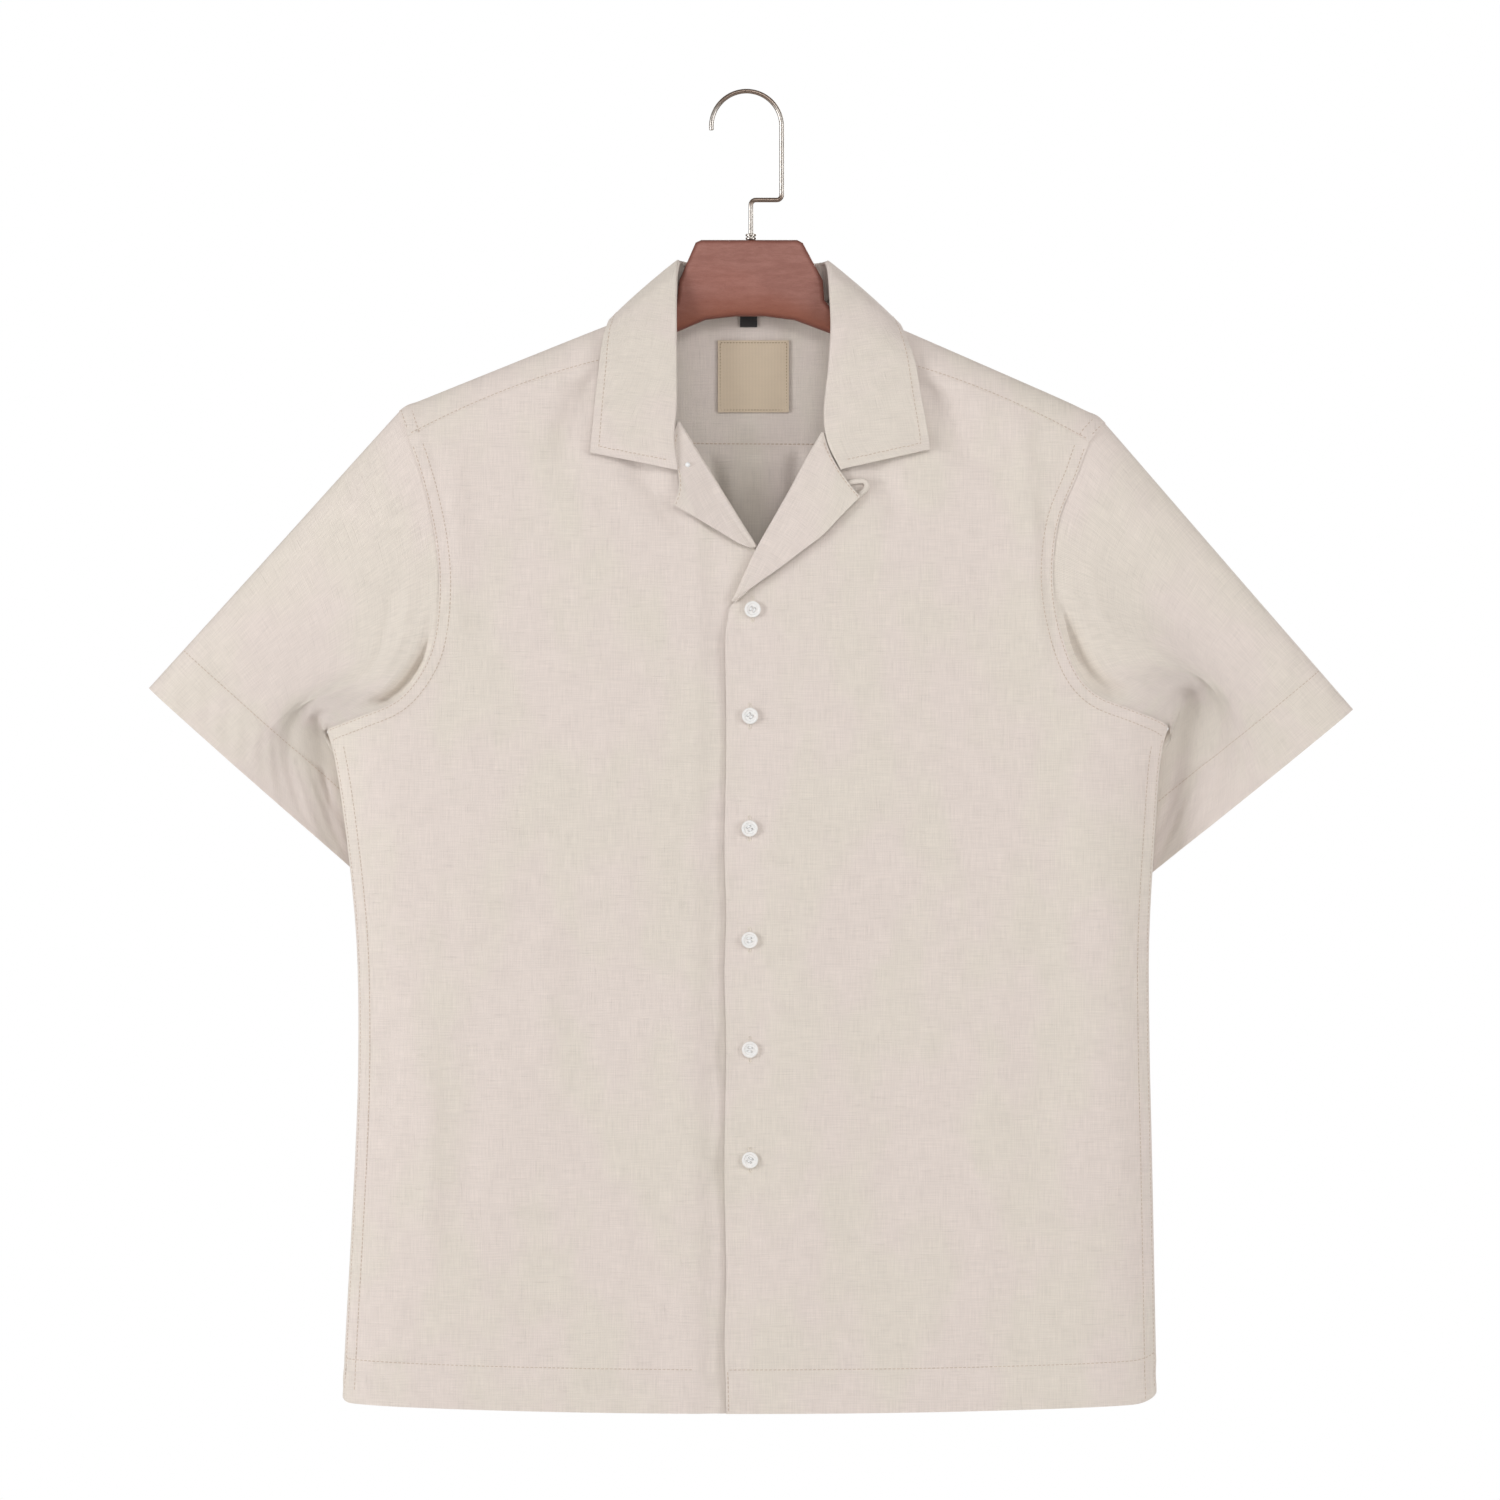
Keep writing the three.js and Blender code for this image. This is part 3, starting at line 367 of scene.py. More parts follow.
def near_line(line, x, z):
    """Plain distance to a line of points."""
    best = np.full(np.broadcast(x, z).shape, np.inf)
    for a, b in zip(line, line[1:]):
        dx, dz = b - a
        t = np.clip(((x - a[0]) * dx + (z - a[1]) * dz) / (dx * dx + dz * dz), 0, 1)
        best = np.minimum(best, np.hypot(x - a[0] - dx * t, z - a[1] - dz * t))
    return best


HEM_DEEP = 30.7
HEM_THICK = 0.4
FELL = 8.4
FELL_THICK = 0.45
ARMHOLE_LINE = {side: spline([row[1:3] for row in ARMHOLE[side]], 4) for side in SIDES}
NECK_CORNER = (67.2, -181)
FRONT_TOP_BOW = 8


def front_seam_z(x):
    """Height of the yoke's front seam, bowed up between neck and armhole."""
    total = np.zeros(np.shape(x))
    for side in SIDES:
        end = ARMHOLE[side][1]
        share = np.clip((np.abs(x) - NECK_CORNER[0]) / (abs(end[1]) - NECK_CORNER[0]), 0, 1)
        z = lerp(NECK_CORNER[1], end[2], share) + FRONT_TOP_BOW * bow(share)
        total = np.where(x * OUT[side] > 0, z, total)
    return total


def felled(distance):
    """The raised band of a felled seam, by the distance from it."""
    return FELL_THICK * (1 - smooth(distance, FELL - 0.8, FELL + 1.6))


def to_armhole(x, z):
    """Distance to the nearer armhole seam."""
    return np.minimum(*[near_line(ARMHOLE_LINE[side], x, z) for side in SIDES])


def body_lift(x, z, face):
    """How far the cloth of the body stands off the plain shell."""
    folds, seed = (FRONT_FOLDS, 0.4) if face < 0 else (BACK_FOLDS, 2.3)
    lift = fold_lift(folds, x, z) + waves(x, z, seed)
    to_hole = to_armhole(x, z)
    to_side = np.minimum(*[near_line(SMOOTH_SIDE[side], x, z) for side in SIDES])
    calm = smooth(to_hole, 0, 14) * smooth(to_side, 0, 30)
    if face < 0:
        calm = calm * smooth(front_seam_z(x) - z, 0, 14)
    else:
        calm = calm * smooth(back_seam_point(x)[1] - z, -2, 10)
    above = z - hem_line(x)
    calm = calm * (0.35 + 0.65 * smooth(above, 0, 40))
    band = np.maximum(felled(to_hole), felled(to_side))
    hem = HEM_THICK * (1 - smooth(above, HEM_DEEP - 1.5, HEM_DEEP + 1.5))
    rope = 0.28 * np.sin((x + 0.8 * above) / 3.4) * within(above, HEM_DEEP)
    return lift * calm + np.maximum(band, hem) + rope


def within(above, deep):
    """One inside a turned hem, fading at its fold and below its stitches."""
    return smooth(above, 1, 8) * (1 - smooth(above, deep - 10, deep - 1))


# ---------------------------------------------------------------- fronts and back
# Two fronts that button over each other and one back, each cut with its side seam and
# armhole. Linen, 0.8 mm to the eye, with a 31 mm hem turned up twice.
# x and z of each front's inner edge from the hem to the yoke
FRONT_EDGE = {
    "left": [(-17.2, -922.3), (-17.2, -872), (-17.2, -745), (-17.2, -668), (-17.2, -592),
             (-17.2, -514), (-17.2, -440), (-17, -400), (-16.7, -382), (-14.6, -362.2),
             (-8.2, -352.6), (-0.8, -335.4), (6.9, -319.2), (30, -278.3), (52.6, -237.2),
             (59.9, -209), (67.2, -181)],
    "right": [(17.5, -922.3), (17.5, -872), (17.5, -745), (17.5, -668), (17.5, -592),
              (17.5, -514), (17.5, -440), (17.5, -400), (16.5, -375), (13, -352), (8, -334),
              (2.9, -319), (-10.5, -297.5), (-25.1, -273.4), (-52.9, -228.6), (-59.9, -206),
              (-67.2, -181)],
}
BACK_YOKE_BOW = -3
ARMHOLE_GAP = 0.05
SEAM = 0.05
SHEER = 0.8
FRONT_SPACING = 3.1
BACK_SPACING = 3.6
PANEL_WIDTH = 290
HEM_ROWS = 6
HEM_DIP = 1.6
FOLD_COLUMNS = 16
UNDER_EDGE_X = -22
UNDER_EDGE_GAPE = 0.9
TOP_EDGE_X = -17
TOP_EDGE_PROUD = 0.35
BREAK_Z = -372
# middle, reach and size of each place where the top front stands off the under one
GAPES = [(-388, 26, 0.8), (-552, 44, 0.5), (-670, 20, 1.3), (-750, 16, 1.2), (-880, 40, 0.5)]


def outer_rows(side):
    """Knots of a panel's outer end: the side seam upwards, then the armhole."""
    hole = np.array([row[1:3] for row in ARMHOLE[side] if row[0] > 0][::-1])
    hole = inset(hole, OUT[side] * ARMHOLE_GAP)
    return np.array(SIDE_LINE[side][1:][::-1]), hole


def inset(line, distance):
    """A flat line moved sideways by a distance, to the left of its run."""
    run = unit(np.gradient(line, axis=0))
    return line + np.stack([-run[:, 1], run[:, 0]], axis=1) * distance


def row_steps(ends, inner, spacing):
    """How many rows each gap of a panel takes, and how far the last gap has risen."""
    lines = (np.concatenate(ends), inner)
    gaps = [np.linalg.norm(np.diff(line, axis=0), axis=1) for line in lines]
    steps = [max(2, int(length / spacing)) for length in np.maximum(*gaps)]
    top = np.linspace(0, 1, steps[-1] + 1)
    return steps, np.concatenate([np.zeros(sum(steps[:-1])), top])


def outer_curve(ends, steps):
    """The outer ends of a panel's rows. The corner at the pit stays sharp."""
    below, hole = ends
    corner = len(below)
    lower = spline(np.concatenate([below, hole[:1]]), steps[:corner])[:-1]
    return np.concatenate([lower, spline(hole, steps[corner:])])


def columns(spacing, both=False):
    """Shares across a panel, closer together where it rounds into a side fold."""
    fold = SIDE_ROUND / PANEL_WIDTH
    flat = np.linspace(0, 1 - fold, int((1 - fold) * PANEL_WIDTH / spacing), endpoint=False)
    edge = 1 - fold * (1 - np.linspace(0, 1, FOLD_COLUMNS)) ** 2
    half = np.concatenate([flat, edge])
    if not both:
        return half
    return np.concatenate([(1 - half[::-1]) / 2, (1 + half[1:]) / 2])


def front_surface(side, x, z, extra=0.0):
    """The finished front: shell, folds, and the under front's drop behind the top one."""
    points, normals = form_point(x, z, -1, body_lift(x, z, -1) + extra)
    gape = UNDER_EDGE_GAPE * sum(size * hump(z, middle, reach) for middle, reach, size in GAPES)
    if side == "right":
        points[..., 1] += OVERLAP_DROP * smooth(x, -40, -24)
        points[..., 1] += gape * hump(x, UNDER_EDGE_X, 6)
    else:
        edge = hump(x, TOP_EDGE_X, 7) * (z < BREAK_Z)
        points[..., 1] -= (TOP_EDGE_PROUD + gape) * edge
        points[..., 0] += edge * 0.6 * np.sin(z / 19 + np.sin(z / 47))
    return points, normals


def hump(value, middle, reach):
    return np.exp(-(((value - middle) / reach) ** 2))


def to_side_line(side, x, z):
    """Ends of a panel's rows below the pit, moved out onto the side seam."""
    gap = inside(SMOOTH_SIDE[side], side, x, z)
    return x + OUT[side] * gap * (z < SIDE_LINE[side][0][1] - 0.5)


def front_panel(side, material):
    ends = outer_rows(side)
    steps, rise = row_steps(ends, np.array(FRONT_EDGE[side]), FRONT_SPACING)
    inner, outer = spline(FRONT_EDGE[side], steps), outer_curve(ends, steps)
    share = columns(FRONT_SPACING)
    x = lerp(inner[:, :1], outer[:, :1], share)
    z = lerp(inner[:, 1:], outer[:, 1:], share)
    z = z + rise[:, None] * (FRONT_TOP_BOW * bow(share) - SEAM)
    z = z + (hem_line(x[:1]) - z[:1]) * np.exp(-np.arange(len(z)) / HEM_ROWS)[:, None]
    x[:, -1] = to_side_line(side, x[:, -1], z[:, -1])
    points, normals = front_surface(side, x, z)
    uv = np.stack([x, z], axis=-1)
    name = f"linen_front_{side}"
    return cloth(name, points, normals, uv, material, SHEER, [f"front_{side}"])


def back_surface(x, z, extra=0.0):
    return form_point(x, z, 1, body_lift(x, z, 1) + extra)


def back_panel(material):
    ends = {side: outer_rows(side) for side in SIDES}
    steps, rise = row_steps(ends["left"], np.array(FRONT_EDGE["left"]), BACK_SPACING)
    right, left = (outer_curve(ends[side], steps) for side in SIDES)
    share = columns(BACK_SPACING, both=True)
    x = lerp(right[:, :1], left[:, :1], share)
    z = lerp(right[:, 1:], left[:, 1:], share)
    z = z + rise[:, None] * (BACK_YOKE_BOW * bow(share) - SEAM)
    hem = hem_line(x[:1]) - HEM_DIP * smooth(-x[:1], 60, 200) * smooth(290 + x[:1], 0, 40)
    z = z + (hem - z[:1]) * np.exp(-np.arange(len(z)) / HEM_ROWS)[:, None]
    for end, side in ((0, "right"), (-1, "left")):
        x[:, end] = to_side_line(side, x[:, end], z[:, end])
    points, normals = back_surface(x, z)
    uv = np.stack([x + 7, z], axis=-1)
    return cloth("linen_back", points, normals, uv, material, SHEER, ["back"])


# ---------------------------------------------------------------- yoke
# One piece over both shoulders, sewn to the fronts ahead of the shoulder line, to the
# back below the neck, and to the collar round the neck.
# The collar from the centre back: neck seam x and z, roll x, y and z, outer edge x and z
COLLAR = {
    "left": [(0, -148, 0, 17.5, -119, 0, -168), (30, -148, 29, 15.5, -118.6, 40, -167),
             (50, -147, 47, 9, -118.2, 78, -165), (55, -145.2, 51.4, 4, -118, 94, -164),
             (58, -144.5, 53.2, -1.5, -118.4, 102, -163.6),
             (58.8, -150, 54, -6.5, -123, 106.5, -169.5),
             (59.5, -156, 54.6, -11, -131, 109.6, -176),
             (63.6, -170, 55.6, -15.4, -150, 113, -184),
             (67.2, -181, 56, -17.4, -166, 115.6, -193),
             (61.7, -202, 54.4, -18.4, -192, 119.4, -214),
             (54.6, -229.5, 51.2, -19, -224, 123.6, -237),
             (57, -246, 53.8, -19.4, -245, 124.8, -246),
             (66, -264.2, 63.1, -19.6, -264.6, 125.2, -250.2)],
    "right": [(0, -148, 0, 17.5, -119, 0, -168), (-30, -148, -27, 15.5, -118.4, -40, -168),
              (-50, -147.6, -43.5, 9, -117.6, -74, -165),
              (-55, -146.4, -47.6, 4, -117.4, -88, -162.5),
              (-58, -146, -49.2, -1.5, -118, -95.9, -161),
              (-58.8, -151, -49.9, -6.5, -123, -100, -167.5),
              (-59.5, -157, -50.6, -11, -131, -102.4, -175),
              (-63.6, -170, -51, -15.4, -150, -104.4, -186),
              (-67.2, -181, -51, -17.4, -166, -105.6, -196),
              (-61.2, -202, -50.7, -18.4, -192, -108, -216),
              (-54.8, -223, -50.8, -19, -220, -110, -237),
              (-56, -243, -52.6, -19.4, -242, -111.2, -248),
              (-53, -263.2, -49.9, -19.6, -264, -111.6, -252.4)],
}
YOKE_RIDGE_X = 62
YOKE_SEAM_X = 60
YOKE_NECK_SECTIONS = 8
NECK_FAN = [(2.8, 58), (1.7, 56.5), (0.6, 55)]
SEAM_TO_NECK = 0.94
NECK_SQUEEZE = 0.03
COLLAR_BACK_SECTIONS = 5
ROUND_STEPS = np.array([0.1, 0.2, 0.32, 0.45, 0.58, 0.72, 0.86, 1])
YOKE_STEPS = [0, 0.05, 0.1, 0.19, 0.3, 0.42, 0.52, 0.61, 0.7, 0.79, 0.87, 0.93, 0.97, 1]
YOKE_PROUD = 0.25
YOKE_FOLLOWS = 0.9


def refine(grid, along, across):
    """A denser grid through all the points of a coarse one."""
    return np.swapaxes(spline(np.swapaxes(spline(grid, along), 0, 1), across), 0, 1)


def top_z(side, x):
    """Height of the top fold."""
    line = np.array(TOP_LINE[side])
    order = np.argsort(line[:, 0])
    return np.interp(x, line[order, 0], line[order, 1])


def yoke_lift(x, z, face):
    """The yoke lies over the fronts, and follows the folds of the back."""
    if face > 0:
        return YOKE_FOLLOWS * body_lift(x, z, face)
    return YOKE_PROUD + felled(to_armhole(x, z))


def column_points(spots, face):
    """Spots of x and z laid on the outside of the yoke."""
    spots = np.array(spots, float)
    points, _ = form_point(spots[:, 0], spots[:, 1], face, yoke_lift(*spots.T, face))
    return points


def shoulder_column(ridge, back, front):
    """Points from the back seam, over the ridge of the shoulder, to the front seam."""
    ridge, back, front = (np.array(spot, float) for spot in (ridge, back, front))
    share = (ROUND_STEPS**2)[:, None]
    over = column_points(lerp(ridge, front, share), -1)
    behind = column_points(lerp(ridge, back, share), 1)[::-1]
    return np.concatenate([behind, [[ridge[0], 0, ridge[1]]], over])


def neck_column(neck, back):
    """Points from the back seam up to the neck seam, the last few drawn together."""
    below = lerp(NECK_SQUEEZE, 1, ROUND_STEPS**2)[::-1]
    close = NECK_SQUEEZE * np.concatenate([[1], 1 - ROUND_STEPS])
    share = np.concatenate([below, close])[:, None]
    return column_points(lerp(np.array(neck, float), np.array(back, float), share), 1)


def back_seam_point(x):
    """The x given and the height of the yoke's back seam there."""
    right, left = (np.array(ARMHOLE[side][1][1:3]) for side in SIDES)
    share = (x - right[0]) / (left[0] - right[0])
    return x, lerp(right[1], left[1], share) + BACK_YOKE_BOW * bow(share)


def yoke_half(side):
    """Columns of one side of the yoke, from the armhole to beside the centre back."""
    out = OUT[side]
    top, corner = (np.array(row[1:3]) for row in ARMHOLE[side][:2])
    neck_corner = np.array([out * NECK_CORNER[0], NECK_CORNER[1]])
    half = []
    for share in YOKE_STEPS:
        trim = out * SEAM * (share == 1)
        ridge_x = lerp(out * YOKE_RIDGE_X, top[0], share) - trim
        front = lerp(neck_corner, corner, share)
        front = front + [-trim, FRONT_TOP_BOW * bow(share)]
        back = back_seam_point(lerp(out * YOKE_SEAM_X, corner[0], share) - trim)
        half.append(shoulder_column((ridge_x, top_z(side, ridge_x)), back, front))
    half = half[::-1]
    necks = [row[:2] for row in COLLAR[side]]
    end = TOP_LINE[side][0][0]
    for front, (ridge, seam) in zip(necks[5:YOKE_NECK_SECTIONS][::-1], NECK_FAN):
        x = end + out * ridge
        half.append(shoulder_column((x, top_z(side, x)), back_seam_point(out * seam), front))
    for neck in necks[1:COLLAR_BACK_SECTIONS][::-1]:
        half.append(neck_column(neck, back_seam_point(neck[0] * SEAM_TO_NECK)))
    return half


def make_yoke(material):
    middle = neck_column(COLLAR["left"][0][:2], back_seam_point(0))
    grid = np.array([*yoke_half("right"), middle, *yoke_half("left")[::-1]])
    grid = refine(grid, 4, 3)
    uv = np.stack([grid[..., 0] + 11, grid[..., 2]], axis=-1)
    return cloth("linen_yoke", grid, grid_normals(grid), uv, material, SHEER, ["yoke"])


# ---------------------------------------------------------------- sleeves
# Short set-in sleeves, each a tube that opens flat from the armhole to a hemmed cuff.
# Their lower folds hang behind the body.
CUFF = {"right": ((-420.7, -416.2), (-264.6, -556.2)), "left": ((422.1, -431), (266, -559))}
CUFF_HALF_DEPTH = 11
UNDERARM_BACK = 24
UNDERARM_TUCK = 16
CUFF_ROUND = 25
UNDERARM_ROUND = 8
CUFF_HEM = 36
CUFF_HEM_THICK = 0.45
SLEEVE_ROUND_HALF = 210
SLEEVE_LONG = 262
SLEEVE_COLUMNS = 74
SLEEVE_ROWS = 88
# share of the way round and along of both ends, width and height
SLEEVE_FOLDS = {
    "right": [(0.43, 0.028, 0.46, 0.036, 0.032, -9.0), (0.5, 0.0, 0.49, 0.07, 0.012, -2.6),
              (0.84, 0.72, 0.86, 0.8, 0.014, -1.4), (0.3, 0.12, 0.4, 0.15, 0.022, 1.1),
              (0.3, 0.2, 0.42, 0.24, 0.026, -1.1),
              (0.38, 0.12, 0.52, 0.5, 0.04, 0.9), (0.6, 0.3, 0.6, 0.8, 0.06, -0.6),
              (0.7, 0.34, 0.74, 0.9, 0.06, 0.6), (0.52, 0.5, 0.66, 0.86, 0.05, -0.5),
              (0.82, 0.2, 0.86, 0.8, 0.04, -0.5), (0.2, 0.3, 0.3, 0.8, 0.08, 0.5)],
    "left": [(0.41, 0.03, 0.45, 0.04, 0.036, -9.0), (0.5, 0.0, 0.5, 0.06, 0.012, -2.4),
             (0.28, 0.14, 0.38, 0.17, 0.024, 0.9),
             (0.34, 0.1, 0.48, 0.5, 0.04, 0.9), (0.58, 0.3, 0.64, 0.9, 0.06, -1.0),
             (0.72, 0.3, 0.78, 0.9, 0.05, 0.7), (0.86, 0.2, 0.88, 0.9, 0.04, -0.7),
             (0.16, 0.4, 0.2, 0.9, 0.07, 0.5)],
}


def sleeve_point(side, part, along, face):
    """The plain form of a sleeve, by the share from its top fold and from the armhole."""
    hole = SMOOTH_HOLE[side]
    seam_x, seam_z, swing = (np.interp(part, hole[:, 0], hole[:, k]) for k in (1, 2, 3))
    tip, corner = (np.array(spot, float) for spot in CUFF[side])
    cuff_x, cuff_z = (lerp(tip[k], corner[k], part) for k in (0, 1))
    lead_x = (seam_x + cuff_x) / 2 + OUT[side] * 0.42 * swing
    lead_z = (seam_z + cuff_z) / 2 + 0.91 * swing
    x = lerp(lerp(seam_x, lead_x, along), lerp(lead_x, cuff_x, along), along)
    tuck = UNDERARM_TUCK * smooth(along, 0.2, 0.7) * smooth(1 - along, 0, 0.5)
    x = x - OUT[side] * tuck * smooth(part, 0.7, 1)
    z = lerp(lerp(seam_z, lead_z, along), lerp(lead_z, cuff_z, along), along)
    width = math.dist(tip, corner)
    folds = round_off(part * width / CUFF_ROUND)
    folds = folds * round_off((1 - part) * width / UNDERARM_ROUND)
    back = UNDERARM_BACK * along**0.5 * smooth(part, 0.3, 1)
    hanging = back + face * CUFF_HALF_DEPTH * np.sqrt(folds)
    reach = lerp(0.6, 0.38, smooth(part, 0.5, 0.9)) - 0.12 * smooth(part, 0.94, 1)
    depth = np.sqrt(np.maximum(depth_squared(x, z), 0))
    y = lerp(face * depth, hanging, smooth(along / reach, 0, 1))
    return np.stack([x, y, z], axis=-1)


def from_cuff(side, part, along, face):
    """Distance to the line of the cuff."""
    x, _, z = np.moveaxis(sleeve_point(side, part, along, face), -1, 0)
    tip, corner = (np.array(spot, float) for spot in CUFF[side])
    run = (corner - tip) / math.dist(tip, corner)
    return np.abs((x - tip[0]) * run[1] - (z - tip[1]) * run[0])


def sleeve_lift(side, part, along, face):
    """Folds, the cuff's turned hem, and a little unevenness, fading at the seam."""
    total = fold_lift(SLEEVE_FOLDS[side], part, along) * np.where(face < 0, 1, 0.7)
    total = total + 0.3 * np.sin(19 * part + 3 * along + OUT[side]) * np.sin(5 * along + face)
    total = total * smooth(along, 0, 0.025) * smooth(1.04 - along, 0, 0.16)
    total = total * smooth(part, 0, 0.08) * smooth(1 - part, 0, 0.1)
    up = from_cuff(side, part, along, face)
    hem = CUFF_HEM_THICK * (1 - smooth(up, CUFF_HEM - 1.5, CUFF_HEM + 1.5))
    rope = 0.25 * np.sin(part * SLEEVE_ROUND_HALF / 3.1 + up / 4) * within(up, CUFF_HEM)
    return total + hem + rope


def sleeve_surface(side, part, along, face, extra=0.0):
    """Points of a sleeve by its share round and along, with normals."""
    step = 0.004
    part, along, face = np.broadcast_arrays(part, along, face)
    low, high = np.clip(part - step, 0, 1), np.clip(part + step, 0, 1)
    near, far = np.clip(along - step, 0, 1), np.clip(along + step, 0, 1)
    round_it = sleeve_point(side, high, along, face) - sleeve_point(side, low, along, face)
    down = sleeve_point(side, part, far, face) - sleeve_point(side, part, near, face)
    normal = unit(np.cross(round_it, down) * (-OUT[side] * face)[..., None])
    tip = (part < 1e-6) | (part > 1 - 1e-6)
    lift = sleeve_lift(side, part, along, face) * (~tip)
    return sleeve_point(side, part, along, face) + normal * (lift + extra)[..., None], normal


def make_sleeve(side, material):
    fine = 0.5 - 0.5 * np.cos(np.linspace(0, np.pi, SLEEVE_COLUMNS))
    parts = lerp(fine, np.linspace(0, 1, SLEEVE_COLUMNS), 0.5)
    ring = np.concatenate([parts, parts[1:-1][::-1]])
    face = np.concatenate([np.full(len(parts), -1.0), np.full(len(parts) - 2, 1.0)])
    along = np.linspace(0, 1, SLEEVE_ROWS)[:, None]
    points, normals = sleeve_surface(side, ring[None], along, face[None])
    ends = (ring < 1e-6) | (ring > 1 - 1e-6)
    normals[:, ends] = grid_normals(points, ring=True)[:, ends]
    round_it = np.where(face > 0, 2 - ring, ring) * SLEEVE_ROUND_HALF
    uv = np.stack(np.broadcast_arrays(round_it[None], along * SLEEVE_LONG), axis=-1)
    name = f"linen_sleeve_{side}"
    return cloth(name, points, normals, uv, material, SHEER, [f"sleeve_{side}"], ring=True)


# ---------------------------------------------------------------- lapels
# The tops of the fronts turned back: a soft round roll, then a flat leaf on the chest.
# x and z of the roll, x and z of the free edge, bow of the row, from the break upwards
LAPEL = {
    "left": [(-12.8, -355.6, -8.9, -354.6, 0), (-10.8, -352.9, -1.5, -348.3, 0),
             (-2.8, -335.4, 21.7, -331.9, 0), (4.9, -319.2, 36, -321, 0),
             (16.5, -298.7, 50.7, -309.8, 0), (28, -278.3, 62, -298, 0),
             (39, -257.5, 70, -289.8, 0), (50.3, -238.2, 76.8, -283.2, -3.8)],
    "right": [(4.5, -317.6, -1.2, -318, 0), (-2, -307.5, -8.6, -315, 0),
              (-12, -291.5, -18.5, -309, 0), (-23.1, -273.4, -30.6, -301.8, 0),
              (-37, -251.2, -42, -295, 0), (-49.2, -230.9, -53.4, -288.5, 0)],
}
UNDER_LEAF = {"left": 0, "right": 3.4}
ROLL_RADIUS = 2
LAPEL_LIFT = 1.7
LAPEL_THICK = 1.1
LAPEL_PROUD = 0.5
TURN = np.array([-1, -0.5, 0, 0.5, 1]) * math.pi / 2
LEAF_SHARES = np.array([0.2, 0.4, 0.6, 0.8, 1])
TO_FRONT = np.array([0, -1.0, 0])


def facing(normals, toward):
    """The normals, flipped as one if they face away from a direction."""
    return normals if np.sum(normals * toward) > 0 else -normals


def make_lapel(side, material):
    rows = np.array(LAPEL[side])
    run = unit(np.gradient(rows[:, :2], axis=0)) * OUT[side]
    across = np.stack([run[:, 1], -run[:, 0]], axis=1)[:, None]
    centre = ROLL_RADIUS - 2 * SEAM_GAP
    turned = rows[:, None, :2] + across * (centre - ROLL_RADIUS * np.cos(TURN))[None, :, None]
    share = LEAF_SHARES[:, None]
    flat = lerp(rows[:, None, :2] + across * centre, rows[:, None, 2:4], share)
    flat[..., 0] += rows[:, 4:] * bow(LEAF_SHARES)
    flat[-1, :, 0] -= UNDER_LEAF[side] * np.sin(2 * np.pi * LEAF_SHARES)
    spots = np.concatenate([turned, flat], axis=1)
    points, _ = front_surface(side, spots[..., 0], spots[..., 1])
    points[:, :5, 1] += CLOTH - ROLL_RADIUS - ROLL_RADIUS * np.sin(TURN)
    points[:, 5:, 1] += CLOTH - 2 * ROLL_RADIUS - LAPEL_LIFT * LEAF_SHARES**2
    points[:, 6:9, 1] -= LAPEL_PROUD
    points = refine(points, 7, 4)
    normals = facing(grid_normals(points), TO_FRONT)
    uv = np.stack([lengths(points, 1) + 400, lengths(points, 0)], axis=-1)
    name = f"linen_lapel_{side}"
    return cloth(name, points, normals, uv, material, LAPEL_THICK, [f"lapel_{side}"]), points


# ---------------------------------------------------------------- collar
# Two plies with interlining, sewn round the neck: it stands up, turns over in a soft
# roll, and its leaves lie on the shoulders. Topstitched 6 mm in from its edges.
COLLAR_RADIUS = 2.1
COLLAR_FREE_SECTIONS = 3
COLLAR_STAND = 1.5
COLLAR_SEAM_BACK = 0.9
LEAF_LIFT = {"left": 4.2, "right": 4.0}
LEAF_BOW = 1
LEAF_SPOTS = (0.2, 0.45, 0.72, 1)
LEAF_COLUMN = 30


def make_collar(material):
    sections = [*COLLAR["right"][1:][::-1], *COLLAR["left"]]
    middle = len(COLLAR["left"]) - 1
    rolls = np.array([row[2:5] for row in sections], float)
    grid = []
    for k, row in enumerate(sections):
        from_middle = abs(k - middle)
        face = 1 if from_middle < COLLAR_BACK_SECTIONS else -1
        roll = rolls[k]
        lift = LEAF_LIFT["right" if roll[0] < 0 else "left"]
        edge = form_point(row[5], row[6], face, lift)[0]
        run = unit(rolls[min(k + 1, len(rolls) - 1)] - rolls[max(k - 1, 0)])
        fall = edge - roll
        fall = unit(fall - run * np.dot(fall, run))
        outward = unit(np.cross(run, fall))
        turn = [
            roll + (fall * (1 - math.cos(angle)) + outward * math.sin(angle)) * COLLAR_RADIUS
            for angle in TURN
        ]
        neck = turn[0] + fall * COLLAR_STAND
        if from_middle <= middle - COLLAR_FREE_SECTIONS:
            neck = form_point(row[0], row[1], face, -CLOTH)[0]
            neck = neck + unit(roll - neck) * COLLAR_SEAM_BACK
        leaf = [
            lerp(turn[-1], edge, part) + outward * LEAF_BOW * bow(part) for part in LEAF_SPOTS
        ]
        grid.append([neck, (neck + turn[0]) / 2, *turn, *leaf])
    points = refine(np.array(grid), 7, 4)
    normals = grid_normals(points)
    if np.sum(normals[:, LEAF_COLUMN:, 1] * points[:, LEAF_COLUMN:, 1]) < 0:
        normals = -normals
    around, reach = lengths(points, 0), lengths(points, 1)
    middle_row = around[len(around) // 2 : len(around) // 2 + 1]
    uv = np.stack([around - middle_row + 900, reach], axis=-1)
    return cloth("linen_collar", points, normals, uv, material, COLLAR_CLOTH, ["collar"]), points


# ---------------------------------------------------------------- shader helpers
# Values in a node tree that can be written as plain sums, and one way to make a node.


